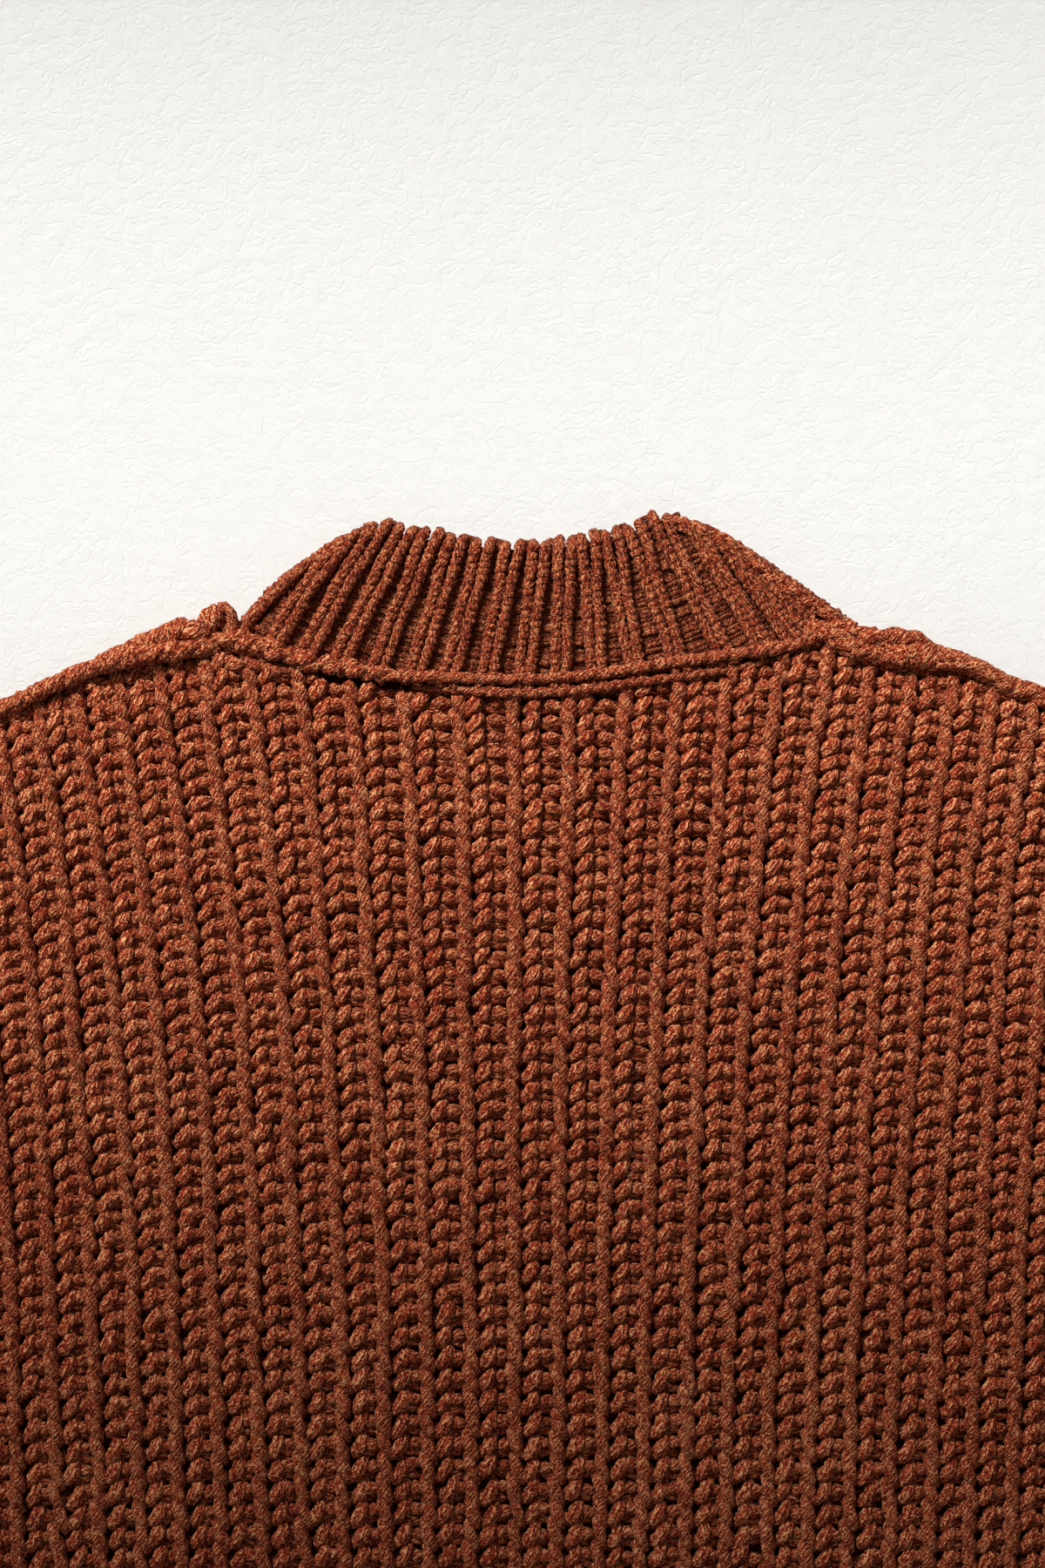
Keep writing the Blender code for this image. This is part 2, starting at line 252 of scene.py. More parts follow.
# ------------------------------------------------------------------------------------ meshes
@dataclass
class YarnMesh:
    """Strands of yarn that become one mesh, with a UV map along and around the yarn."""

    vertices: list[Array] = field(default_factory=list)
    loops: list[Array] = field(default_factory=list)
    sizes: list[Array] = field(default_factory=list)
    uvs: list[Array] = field(default_factory=list)
    smooth: list[Array] = field(default_factory=list)
    count: int = 0

    def add(
        self,
        points: Array,
        radius: Array,
        sides: int,
        lay: Array | float,
        keep: Array | None = None,
    ) -> None:
        """Sweeps round yarn along strands.

        Args:
            points: Centre lines in millimetres, of shape (strands, points, 3).
            radius: The yarn's radius at each point.
            sides: Sides round the yarn.
            lay: Slant of the plies from the yarn's axis, in degrees.
            keep: Which points are made; each unbroken run of them is closed at its ends.
        """
        strands, length = points.shape[:2]
        radius = np.broadcast_to(radius, (strands, length))
        lay = np.broadcast_to(lay, (strands, length))
        keep = np.ones((strands, length), bool) if keep is None else keep
        edged = np.pad(keep, ((0, 0), (1, 1)))
        keep = keep & (edged[:, :-2] | edged[:, 2:])
        ahead = unit(np.gradient(points, axis=1))
        out = np.empty_like(points)
        out[:, 0] = unit(np.cross(ahead[:, 0], np.array([0.31, 0.22, 0.93])))
        for i in range(1, length):
            moved = out[:, i - 1]
            along = np.sum(moved * ahead[:, i], axis=1, keepdims=True)
            out[:, i] = unit(moved - along * ahead[:, i])
        across = np.cross(ahead, out)
        turn = 2 * np.pi * np.arange(sides) / sides
        ring = out[:, :, None] * np.cos(turn)[:, None] + across[:, :, None] * np.sin(turn)[:, None]
        uneven = np.random.default_rng(strands + length).normal(1, YARN_UNEVEN, ring.shape[:3])
        rings = points[:, :, None] + (radius[:, :, None] * uneven)[..., None] * ring
        rings[..., 2] = np.maximum(rings[..., 2], SURFACE)
        run = np.linalg.norm(np.diff(points, axis=1), axis=2)
        run = np.concatenate([np.zeros((strands, 1)), np.cumsum(run, axis=1)], axis=1)
        twist = np.tan(np.radians(lay)) / (2 * np.pi * np.maximum(radius, THINNEST))
        step = 0.5 * (twist[:, 1:] + twist[:, :-1]) * np.diff(run, axis=1)
        phase = np.concatenate([np.zeros((strands, 1)), np.cumsum(step, axis=1)], axis=1)
        phase = phase + 0.37 * np.arange(strands)[:, None]
        used = np.nonzero(keep.ravel())[0]
        place = np.full(strands * length, -1)
        place[used] = np.arange(len(used))
        place = place.reshape(strands, length)
        self.vertices.append(rings.reshape(-1, sides, 3)[used].reshape(-1, 3))

        s, i = np.nonzero(keep[:, :-1] & keep[:, 1:])
        j = np.arange(sides)
        k = (j + 1) % sides
        low, high = place[s, i][:, None] * sides, place[s, i + 1][:, None] * sides
        quads = np.stack([low + j, low + k, high + k, high + j], axis=2) + self.count
        u0, u1 = run[s, i][:, None], run[s, i + 1][:, None]
        p0, p1 = phase[s, i][:, None], phase[s, i + 1][:, None]
        v0, v1 = j / sides, (j + 1) / sides
        corners = [(u0, p0 + v0), (u0, p0 + v1), (u1, p1 + v1), (u1, p1 + v0)]
        flat = [np.stack(np.broadcast_arrays(u, v), axis=-1) for u, v in corners]
        self.add_corners(quads.reshape(-1, 4), np.stack(flat, axis=2).reshape(-1, 2), True)

        padded = np.pad(keep, ((0, 0), (1, 1)))
        for ends, order in (
            (keep & ~padded[:, :-2], j[::-1]),
            (keep & ~padded[:, 2:], j),
        ):
            s, i = np.nonzero(ends)
            caps = place[s, i][:, None] * sides + order + self.count
            where = np.stack([run[s, i], phase[s, i]], axis=1)
            self.add_corners(caps, np.repeat(where, sides, axis=0), False)
        self.count += len(used) * sides

    def add_corners(self, faces: Array, uv: Array, smooth: bool) -> None:
        """Adds faces that have the same number of corners.

        Args:
            faces: The point numbers of each face.
            uv: The UV map at each corner.
            smooth: Whether the faces are shaded smoothly.
        """
        self.loops.append(faces.ravel())
        self.uvs.append(uv)
        self.sizes.append(np.full(len(faces), faces.shape[1]))
        self.smooth.append(np.full(len(faces), smooth))

    def build(self, name: str, material: bpy.types.Material) -> bpy.types.Object:
        """Makes the object and hangs it on the frame.

        Args:
            name: The piece's name.
            material: Its finish.

        Returns:
            The new object.
        """
        mesh = bpy.data.meshes.new(name)
        vertices = np.concatenate(self.vertices) * MM
        loops = np.concatenate(self.loops)
        sizes = np.concatenate(self.sizes)
        mesh.vertices.add(len(vertices))
        mesh.vertices.foreach_set("co", vertices.astype(np.float32).ravel())
        mesh.loops.add(len(loops))
        mesh.loops.foreach_set("vertex_index", loops.astype(np.int32))
        mesh.polygons.add(len(sizes))
        starts = np.concatenate([[0], np.cumsum(sizes)[:-1]])
        mesh.polygons.foreach_set("loop_start", starts.astype(np.int32))
        mesh.update(calc_edges=True)
        mesh.polygons.foreach_set("use_smooth", np.concatenate(self.smooth))
        uv = mesh.uv_layers.new(name="yarn")
        uv.uv.foreach_set("vector", np.concatenate(self.uvs).astype(np.float32).ravel())
        mesh.materials.append(material)
        mesh.update()
        piece = bpy.data.objects.new(name, mesh)
        bpy.context.scene.collection.objects.link(piece)
        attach(piece, "root")
        LOG.info("%s: %d triangles", name, int(np.sum(sizes - 2)))
        return piece


def shell(
    name: str, points: Array, faces: Array, material: bpy.types.Material
) -> bpy.types.Object:
    """Makes a plain piece, whose UV map is its plan.

    Args:
        name: The piece's name.
        points: Its points in millimetres.
        faces: Four point numbers for each face.
        material: Its finish.

    Returns:
        The new object.
    """
    mesh = YarnMesh()
    mesh.vertices.append(points)
    mesh.add_corners(faces, points[faces.ravel(), :2], True)
    return mesh.build(name, material)


def slab(upper: Array, lower: Array) -> tuple[Array, Array]:
    """A closed sheet between two grids of points.

    Args:
        upper: The upper face, of shape (across, along, 3), with x rising across.
        lower: The lower face, of the same shape.

    Returns:
        The points and the four-sided faces.
    """
    wide, tall = upper.shape[:2]
    number = np.arange(wide * tall).reshape(wide, tall)
    a, b = number[:-1, :-1], number[1:, :-1]
    c, d = number[1:, 1:], number[:-1, 1:]
    top = np.stack([a, b, c, d], axis=-1).reshape(-1, 4)
    rim = np.concatenate([number[:, 0], number[-1, 1:], number[-2::-1, -1], number[0, -2:0:-1]])
    after = np.roll(rim, -1)
    offset = wide * tall
    wall = np.stack([rim, rim + offset, after + offset, after], axis=-1)
    faces = np.concatenate([top, top[:, ::-1] + offset, wall])
    return np.concatenate([upper.reshape(-1, 3), lower.reshape(-1, 3)]), faces


def pipe(rings: Array) -> Array:
    """Faces of a ring-shaped grid of points that closes on itself both ways."""
    along, around = rings.shape[:2]
    number = np.arange(along * around).reshape(along, around)
    a, b = number, np.roll(number, -1, axis=1)
    c, d = np.roll(b, -1, axis=0), np.roll(a, -1, axis=0)
    return np.stack([a, b, c, d], axis=-1).reshape(-1, 4)


# ----------------------------------------------------------------------------------- finishes
@dataclass(frozen=True)
class Value:
    """A number in a shader, which plain expressions can work with."""

    shader: "Shader"
    socket: bpy.types.NodeSocket

    def __add__(self, other: "Value | float") -> "Value":
        """The sum."""
        return self.shader.maths("ADD", self, other)

    def __radd__(self, other: float) -> "Value":
        """The sum."""
        return self.shader.maths("ADD", other, self)

    def __sub__(self, other: "Value | float") -> "Value":
        """The difference."""
        return self.shader.maths("SUBTRACT", self, other)

    def __rsub__(self, other: float) -> "Value":
        """The difference."""
        return self.shader.maths("SUBTRACT", other, self)

    def __mul__(self, other: "Value | float") -> "Value":
        """The product."""
        return self.shader.maths("MULTIPLY", self, other)

    def __rmul__(self, other: float) -> "Value":
        """The product."""
        return self.shader.maths("MULTIPLY", other, self)

    def wave(self) -> "Value":
        """A cosine that runs from 0 to 1 and repeats for each whole number."""
        return self.cosine() * 0.5 + 0.5

    def sine(self) -> "Value":
        """The sine, for an angle in turns."""
        return self.shader.maths("SINE", self * math.tau, 0.0)

    def cosine(self) -> "Value":
        """The cosine, for an angle in turns."""
        return self.shader.maths("COSINE", self * math.tau, 0.0)

    def ramp(self, low: float, high: float) -> "Value":
        """Rises smoothly from 0 at low to 1 at high."""
        node = self.shader.node(
            "ShaderNodeMapRange",
            {"interpolation_type": "SMOOTHSTEP"},
            {"Value": self, "From Min": low, "From Max": high},
        )
        return Value(self.shader, node.outputs["Result"])


class Shader:
    """A material's nodes, ending in one Principled shader."""

    def __init__(self, name: str) -> None:
        """Starts an empty material.

        Args:
            name: The finish's name.
        """
        self.material = bpy.data.materials.new(name)
        self.material.use_nodes = True
        self.tree = self.material.node_tree
        self.surface = self.tree.nodes["Principled BSDF"]

    def node(
        self, kind: str, settings: dict | None = None, values: dict | None = None
    ) -> bpy.types.Node:
        """Adds a node.

        Args:
            kind: The node's type.
            settings: Its own settings, which are made first.
            values: What its inputs hold or are linked to.

        Returns:
            The node.
        """
        made = self.tree.nodes.new(kind)
        for key, value in (settings or {}).items():
            setattr(made, key, value)
        for key, value in (values or {}).items():
            self.link(value, made.inputs[key])
        return made

    def link(self, value: object, socket: bpy.types.NodeSocket) -> None:
        """Puts a value on an input, or links a socket to it."""
        source = value.socket if isinstance(value, Value) else value
        if isinstance(source, bpy.types.NodeSocket):
            self.tree.links.new(source, socket)
        else:
            socket.default_value = source

    def place(self) -> bpy.types.NodeSocket:
        """The point on the piece, in metres."""
        return self.node("ShaderNodeTexCoord").outputs["Object"]

    def paint(self, colour: bpy.types.NodeSocket) -> None:
        """Gives the surface its colour."""
        self.link(colour, self.surface.inputs["Base Color"])

    def maths(self, operation: str, first: Value | float, second: Value | float) -> Value:
        """The result of one operation on two numbers."""
        made = self.node("ShaderNodeMath", {"operation": operation}, {0: first, 1: second})
        return Value(self, made.outputs[0])

    def blend(self, share: Value, first: object, second: object) -> bpy.types.NodeSocket:
        """Mixes two colours.

        Args:
            share: How much of the second shows.
            first: A colour, or a socket that gives one.
            second: Another.

        Returns:
            The mixed colour's socket.
        """
        made = self.node("ShaderNodeMix", {"data_type": "RGBA"}, {0: share})
        for value, place in ((first, 6), (second, 7)):
            given = (*value, 1.0) if isinstance(value, tuple) else value
            self.link(given, made.inputs[place])
        return made.outputs[2]

    def noise(self, where: object, scale: float, detail: float = 2.0, rough: float = 0.5) -> Value:
        """Soft noise from 0 to 1 at a point.

        Args:
            where: The socket that gives the point.
            scale: How fine the noise is.
            detail: How many finer octaves it has.
            rough: How strong these are.

        Returns:
            The noise.
        """
        made = self.node(
            "ShaderNodeTexNoise",
            None,
            {"Vector": where, "Scale": scale, "Detail": detail, "Roughness": rough},
        )
        return Value(self, made.outputs["Fac"])

    def bump(self, height: Value, strength: float, distance: float) -> None:
        """Raises the surface by a height in the shader's normal."""
        made = self.node(
            "ShaderNodeBump", None, {"Height": height, "Strength": strength, "Distance": distance}
        )
        self.link(made.outputs["Normal"], self.surface.inputs["Normal"])

    def plain(self, **values: float | tuple) -> None:
        """Sets inputs of the surface that are the same all over it."""
        for key, value in values.items():
            self.surface.inputs[key.replace("_", " ").title()].default_value = value


@dataclass(frozen=True)
class YarnFinish:
    """Plied wool-like yarn: slanted strokes of fibre, flecks, a soft sheen and painted shade in the
    ply grooves.
    """

    name: str
    shadow: Colour = (0.075, 0.0037, 0.0016)
    body: Colour = (0.345, 0.0438, 0.0116)
    fleck: Colour = (0.71, 0.322, 0.142)
    bump: float = 0.9

    def make(self) -> bpy.types.Material:
        """Builds the material.

        Returns:
            The material.
        """
        shader = Shader(self.name)
        uv = shader.node("ShaderNodeUVMap", {"uv_map": "yarn"})
        parts = shader.node("ShaderNodeSeparateXYZ", None, {0: uv.outputs["UV"]})
        along, around = Value(shader, parts.outputs["X"]), Value(shader, parts.outputs["Y"])
        coil = shader.node(
            "ShaderNodeCombineXYZ",
            None,
            {"X": around.cosine() * 2.3, "Y": around.sine() * 2.3, "Z": along * 0.45},
        ).outputs[0]
        place = shader.place()
        strokes = shader.noise(coil, 1.6, 1.0, 0.55)
        fine = shader.noise(place, 1250.0, 1.0, 0.6)
        cloud = shader.noise(place, 28.0, 2.0, 0.5)
        plies = (around * 6.0 + strokes * 1.5).wave()
        fibre = strokes * 0.55 + fine * 0.45
        # The plies' wave also darkens the colour in the grooves between plies and lightens it on
        # their crests: painted shade and painted highlight, beside the fibres' random tone
        tone_and_ply_shade = fibre + (cloud - 0.5) * 0.06 + (plies - 0.5) * 0.07
        dark = shader.blend(tone_and_ply_shade.ramp(0.40, 0.49), self.shadow, self.body)
        colour = shader.blend(tone_and_ply_shade.ramp(0.51, 0.61), dark, self.fleck)
        shader.paint(colour)
        shader.link(0.85 - tone_and_ply_shade.ramp(0.5, 0.8) * 0.2, shader.surface.inputs["Roughness"])
        shader.bump(plies * 0.25 + fibre * 1.6, self.bump, 0.0014)
        shader.plain(sheen_weight=0.04, sheen_roughness=0.5, sheen_tint=(1.0, 0.62, 0.42, 1.0))
        shader.surface.inputs["Specular IOR Level"].default_value = 0.15
        return shader.material


@dataclass(frozen=True)
class PaintedShadeGroundFinish:
    """The knit behind the loops, seen only deep between them, coloured far darker than the yarn as
    painted shade.
    """

    name: str
    dark: Colour = (0.030, 0.0024, 0.0006)
    light: Colour = (0.085, 0.0105, 0.0022)

    def make(self) -> bpy.types.Material:
        """Builds the material.

        Returns:
            The material.
        """
        shader = Shader(self.name)
        place = shader.place()
        lumps = shader.noise(place, 330.0, 3.0, 0.6)
        colour = shader.blend(lumps.ramp(0.35, 0.7), self.dark, self.light)
        shader.paint(colour)
        shader.bump(lumps, 0.8, 0.002)
        shader.plain(roughness=0.95)
        return shader.material


@dataclass(frozen=True)
class FloorFinish:
    """A pale surface with a fine embossed grain."""

    name: str
    tint: Colour = (0.68, 0.68, 0.665)

    def make(self) -> bpy.types.Material:
        """Builds the material.

        Returns:
            The material.
        """
        shader = Shader(self.name)
        place = shader.place()
        grain = shader.noise(place, 150.0, 3.0, 0.6)
        crease = shader.noise(place, 130.0, 2.0, 0.6)
        folds = shader.maths("ABSOLUTE", crease - 0.5, 0.0).ramp(0.0, 0.05)
        patch = shader.noise(place, 6.0, 2.0, 0.5)
        dimmed = tuple(0.975 * c for c in self.tint)
        colour = shader.blend((grain * 0.7 + patch * 0.3).ramp(0.3, 0.7), dimmed, self.tint)
        shader.paint(colour)
        shader.bump(grain * 0.9 + folds * 0.18, 0.45, 0.0010)
        shader.plain(roughness=0.9)
        return shader.material


# ------------------------------------------------------------------------------------- stitch
@dataclass(frozen=True)
class Stitch:
    """One stitch of a rib as the path of its yarn, from one valley to the next.

    Each row of the path has x in millimetres from the rib's middle, the share of the pitch past
    16 mm that is added to x, the place in rows of knitting, the height, the yarn's radius and the
    slant of its plies.
    """

    path: tuple[tuple[float, ...], ...]
    groups: tuple[int, ...]
    base_pitch: float = 16.0

    def __post_init__(self) -> None:
        """Checks that each point belongs to a group that moves together."""
        if len(self.groups) != len(self.path):
            raise ValueError("each point of a stitch needs a group")


KNIT_LOOP = Stitch(
    path=(
        (-8.0, -0.5, 0.20, 10.1, 2.75, 45.0),
        (-5.7, -0.4, 0.12, 8.0, 2.1, 40.0),
        (-3.8, 0.0, -0.05, 6.3, 1.9, 0.0),
        (-2.2, 0.0, -0.66, 6.6, 1.9, -30.0),
        (-1.9, 0.0, -0.50, 9.3, 2.4, -60.0),
        (-2.3, 0.0, -0.20, 10.9, 2.65, -65.0),
        (-3.3, 0.0, 0.16, 11.3, 2.65, -65.0),
        (-4.1, 0.0, 0.50, 10.5, 2.4, -60.0),
        (-4.1, 0.0, 0.78, 8.0, 2.2, -30.0),
        (-1.8, 0.0, 0.84, 6.4, 1.9, 0.0),
        (2.2, 0.0, 0.82, 6.2, 1.9, 0.0),
        (4.7, 0.0, 0.64, 6.8, 2.1, 0.0),
        (4.9, 0.0, 0.44, 9.4, 2.5, 5.0),
        (4.3, 0.0, 0.23, 11.0, 2.75, 5.0),
        (3.3, 0.0, 0.02, 11.3, 2.8, 5.0),
        (2.2, 0.0, -0.17, 10.6, 2.7, 5.0),
        (1.4, 0.0, -0.34, 8.6, 2.4, 5.0),
        (1.7, 0.0, -0.46, 6.4, 2.0, 5.0),
        (3.9, 0.0, -0.10, 6.2, 1.9, 20.0),
        (5.7, 0.4, 0.08, 7.0, 1.9, 40.0),
    ),
    groups=(0, 0, 0, 1, 1, 1, 1, 1, 1, 2, 2, 3, 3, 3, 3, 3, 3, 3, 4, 4),
)


TUCK_LOOP = Stitch(
    path=(
        (-6.6, -0.5, -0.26, 6.8, 2.0, 40.0),
        (-2.0, 0.0, -0.20, 5.6, 1.8, 30.0),
        (3.4, 0.1, -0.05, 6.4, 1.9, 0.0),
        (6.5, 0.42, -0.20, 8.3, 2.3, 30.0),
    ),
    groups=(0, 0, 1, 1),
)


class RibbedCloth(ABC):
    """A ribbed layer of knitting, placed by rib and by row, whose sides roll under."""

    half: float

    @abstractmethod
    def plan(self, rib: Array, row: Array) -> tuple[Array, Array]:
        """Where a rib line and a row cross, in plan."""

    def pitch(self, rib: Array, row: Array) -> Array:
        """The distance from rib to rib there."""
        x0, y0 = self.plan(rib - 0.5, row)
        x1, y1 = self.plan(rib + 0.5, row)
        return np.hypot(x1 - x0, y1 - y0)

    def roll_start(self, rib: Array, row: Array, pitch: Array) -> Array:
        """How many ribs from the middle the cloth starts to roll under."""
        return self.half - 6.5 / pitch

    def settle(self, rib: Array, row: Array, height: Array) -> Array:
        """Places points of the knitting in space.

        Args:
            rib: Rib coordinate.
            row: Row coordinate.
            height: Height as it is on a flat stretch.

        Returns:
            The points, with rolled edges.
        """
        pitch = self.pitch(rib, row)
        start = self.roll_start(rib, row, pitch)
        beyond = np.maximum(np.abs(rib) - start, 0.0) * pitch
        angle = np.clip(beyond / ROLL_RADIUS, 0.0, ROLL_ANGLE)
        lift = height - MIDDLE
        flat = np.sign(rib) * np.minimum(np.abs(rib), start)
        rolled = flat + np.sign(rib) * lift * np.sin(angle) / pitch
        x, y = self.plan(rolled, row)
        return np.stack([x, y, MIDDLE + lift * np.cos(angle)], axis=-1)

    def knit(
        self,
        mesh: YarnMesh,
        stitch: Stitch,
        ribs: Array,
        rows: Array,
        details: Sequence[Detail],
        seed: int,
        within: Callable[[Array, Array], Array],
    ) -> None:
        """Knits courses of stitches.

        Args:
            mesh: What the yarn is added to.
            stitch: The path of one stitch.
            ribs: The ribs' numbers.
            rows: The courses' numbers.
            details: How finely each rib is made.
            seed: Seed of the small unevenness.
            within: Tells which points of the yarn exist, from their place and their line.
        """
        rng = np.random.default_rng(seed)
        path = np.array(stitch.path)
        groups = np.array(stitch.groups)
        shape = (len(rows), len(ribs), int(groups.max()) + 1)
        shift = rng.normal(0.0, 1.0, (4, *shape))[..., groups]
        rib, row = np.broadcast_arrays(ribs[None, :, None], rows[:, None, None])
        pitch = self.pitch(rib.astype(float), row.astype(float))
        squeeze = np.minimum(1.0, 0.25 + 0.75 * pitch / FULL_PITCH)
        aside = path[:, 0] * squeeze + path[:, 1] * (pitch - stitch.base_pitch * squeeze)
        aside = aside + ASIDE_UNEVEN * shift[0]
        control = np.stack(
            [
                rib + aside / pitch,
                row + path[:, 2] + ROW_UNEVEN * shift[1],
                path[:, 3] + HEIGHT_UNEVEN * shift[2] + 0 * pitch,
                path[:, 4] * (1 + SIZE_UNEVEN * shift[3]) * (0.35 + 0.65 * squeeze),
                path[:, 5] + 0 * pitch,
            ],
            axis=-1,
        ).reshape(len(rows), -1, 5)
        steps = len(path)
        counts = [d.points for d in details]
        if stitch is TUCK_LOOP:
            counts = [max(4, c // 4) for c in counts]
        places = [steps * (n + np.arange(c) / c) for n, c in enumerate(counts)]
        places = np.concatenate([*places, [steps * len(ribs) - 1.0]])
        line = through(control, places)
        points = self.settle(line[..., 0], line[..., 1], line[..., 2])
        sides = details[0].sides - (1 if stitch is TUCK_LOOP else 0)
        mesh.add(points, line[..., 3], sides, line[..., 4], within(points, line))


# --------------------------------------------------------------------------------------- body
@dataclass
class Back(RibbedCloth):
    """The back panel, whose outer side faces up."""

    yarn: bpy.types.Material
    ground: bpy.types.Material
    half: float = BODY_RIBS / 2
    fan_spread: float = 25.0
    fan_ribs: float = 5.0
    fan_fade: float = 175.0
    yoke: float = 237.7
    top_course: float = 300.6
    course_heights: Table = Table(
        (
            (-341.0, 8.5),
            (-2.0, 8.5),
            (58.0, 8.0),
            (137.0, 7.36),
            (200.0, 7.1),
            (275.0, 6.6),
            (310.0, 6.6),
        )
    )
    left_dome: Table = Table(((-341.0, 0.0), (-12.0, 0.4), (230.0, 2.2), (310.0, 2.26)))
    right_dome: Table = Table(((-341.0, 0.0), (-12.0, 0.4), (230.0, 1.25), (310.0, 1.3)))
    dome_edge: float = 220.0
    dome_unit: float = 1e-6
    course_above: float = 6.6
    course_below: float = 8.5
    hem_height: float = 7.0
    sway: float = 0.55
    edge_width: float = 7.0
    edge_fade: float = 16.0
    butt_ribs: float = 0.6
    neck_sink: float = 1.0
    shoulder_sink: float = 1.9
    near_ribs: float = 12.5
    shown_low: float = -72.0
    cuts: tuple[int, ...] = (0, 12, 24, 35, 46)
    courses: Array = field(init=False)

    def __post_init__(self) -> None:
        """Works out the courses' heights on the middle line, from the top down."""
        heights = [self.top_course]
        while heights[-1] > HEM_Y + self.hem_height:
            heights.append(heights[-1] - float(self.course_heights.at(heights[-1])))
        self.courses = np.array(heights)

    def rib_x(self, rib: Array, y: Array) -> Array:
        """Where a rib line crosses a height."""
        spread = self.fan_spread * np.exp((y - self.yoke) / self.fan_fade)
        return RIB_PITCH * rib + spread * np.tanh(rib / self.fan_ribs)

    def side_x(self, y: Array) -> Array:
        """Half the body's width at a height."""
        return self.rib_x(self.half, y)

    def top(self, x: Array) -> Array:
        """The panel's upper edge, inside the shoulder ridges and under the neck seam."""
        left = LEFT_SHOULDER.at(x, 1) - LEFT_SHOULDER.at(x, 2)
        right = RIGHT_SHOULDER.at(x, 1) - RIGHT_SHOULDER.at(x, 2)
        return np.where(x < NECK_LEFT, left, np.where(x > NECK_RIGHT, right, NECK_SEAM.at(x)))

    def under_roll(self, x: Array) -> Array:
        """The edge of the cloth, which on the shoulders reaches under the rolled seam."""
        left = smooth_step(x, NECK_LEFT + 3, NECK_LEFT - 2)
        right = smooth_step(x, NECK_RIGHT - 3, NECK_RIGHT + 2)
        return self.top(x) + 4.5 * (left + right)

    def course_y(self, row: Array, x: Array) -> Array:
        """Height of a course where it crosses x. Rows count upwards from minus the last."""
        last = len(self.courses) - 1
        down = -np.asarray(row, float)
        level = np.interp(down, np.arange(last + 1), self.courses)
        level = level + np.maximum(-down, 0.0) * self.course_above
        level = level - np.maximum(down - last, 0.0) * self.course_below
        bow = np.where(x < 0, self.left_dome.at(level), self.right_dome.at(level))
        bow = bow * self.dome_unit
        inside = np.minimum(np.abs(x), self.dome_edge)
        past = np.abs(x) - inside
        return level - bow * (inside**3 + 3 * self.dome_edge**2 * past)

    def plan(self, rib: Array, row: Array) -> tuple[Array, Array]:
        """Where a rib line and a course cross."""
        y = self.course_y(row, 0 * rib)
        for _ in range(3):
            x = self.rib_x(rib, y)
            y = self.course_y(row, x)
        sway = self.sway * np.sin(y / 23.0 + 1.7 * np.sin(rib * 0.9))
        return self.rib_x(rib, y) + sway * np.sin(rib * 1.3 + y / 71.0), y

    def roll_start(self, rib: Array, row: Array, pitch: Array) -> Array:
        """The sides roll under below the sleeves, and butt against them above."""
        y = self.course_y(row, rib * RIB_PITCH)
        edge = self.edge_width / pitch
        beside = smooth_step(y, UNDERARM_Y - self.edge_fade, UNDERARM_Y)
        return self.half - edge + beside * (self.butt_ribs + edge)

    def settle(self, rib: Array, row: Array, height: Array) -> Array:
        """Places points of the knitting, which sinks where it meets a rolled seam."""
        points = super().settle(rib, row, height)
        x, y = points[..., 0], points[..., 1]
        shoulder = 1.4 * smooth_step(x, NECK_LEFT + 8, NECK_LEFT - 8)
        shoulder = shoulder + smooth_step(x, NECK_RIGHT - 8, NECK_RIGHT + 8)
        depth = self.neck_sink + self.shoulder_sink * shoulder
        sunk = depth * smooth_step(y - self.top(x), -11.0 - 3.0 * shoulder, -2.0)
        points[..., 2] -= np.minimum(sunk, np.maximum(points[..., 2] - GROUND_HIGH, 0.0))
        return points

    def within(self, points: Array, line: Array) -> Array:
        """Which points of the yarn lie inside the panel, short of its seams."""
        x, y = points[..., 0], points[..., 1]
        # The courses end lower at the neck seam, and lowest to the left of its middle
        middle = 0.5 * (NECK_LEFT + NECK_RIGHT)
        shaded = smooth_step(np.abs(x + 52.0), 34.0, 22.0)
        neck = (2.0 + 1.9 * shaded) * smooth_step(np.abs(x - middle), 112.0, 100.0)
        beside = (np.abs(line[..., 0]) < self.half - 0.1) | (y < UNDERARM_Y - 4.0)
        return (y < self.top(x) + 1.6 - 1.2 * neck) & beside

    def build(self) -> list[bpy.types.Object]:
        """Knits the panel in bands of courses.

        Returns:
            The pieces.
        """
        ribs = np.arange(-18, 19)
        near = [Detail.NEAR if abs(r) < self.near_ribs else Detail.FAR for r in ribs]
        shown = int(np.sum(self.courses > self.shown_low))
        last = len(self.courses)
        cuts = [*self.cuts, shown]
        pieces = []
        for n, (low, high) in enumerate(zip(cuts, cuts[1:])):
            mesh = YarnMesh()
            rows = -np.arange(low, high)
            self.knit(mesh, KNIT_LOOP, ribs, rows, near, 11 + n, self.within)
            middle = ribs[2:-2]
            self.knit(mesh, TUCK_LOOP, middle, rows, near[2:-2], 31 + n, self.within)
            pieces.append(mesh.build(f"back_stitches_{n + 1}", self.yarn))
        mesh = YarnMesh()
        rows = -np.arange(shown, last)
        hem = [Detail.HEM] * len(ribs)
        self.knit(mesh, KNIT_LOOP, ribs, rows, hem, 51, self.within)
        self.cast_on(mesh)
        pieces.append(mesh.build("back_stitches_hem", self.yarn))
        panel = self.build_ground()
        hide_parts("back")
        return [panel, *pieces]

    def cast_on(self, mesh: YarnMesh) -> None:
        """Adds the cast-on edge: a cord that follows the ribs along the hem, on both layers."""
        rib = np.linspace(-17.7, 17.7, 36 * 6)
        wave = np.cos(2 * np.pi * rib)
        edge = HEM_Y + 2.6
        for height, rise in ((8.2, 1.5), (2.6, 0.0)):
            x = self.rib_x(rib, edge)
            line = np.stack([x, edge + 0.5 * wave, height + rise * wave], axis=-1)
            mesh.add(line[None], np.full(len(rib), 2.3), sides=6, lay=40.0)

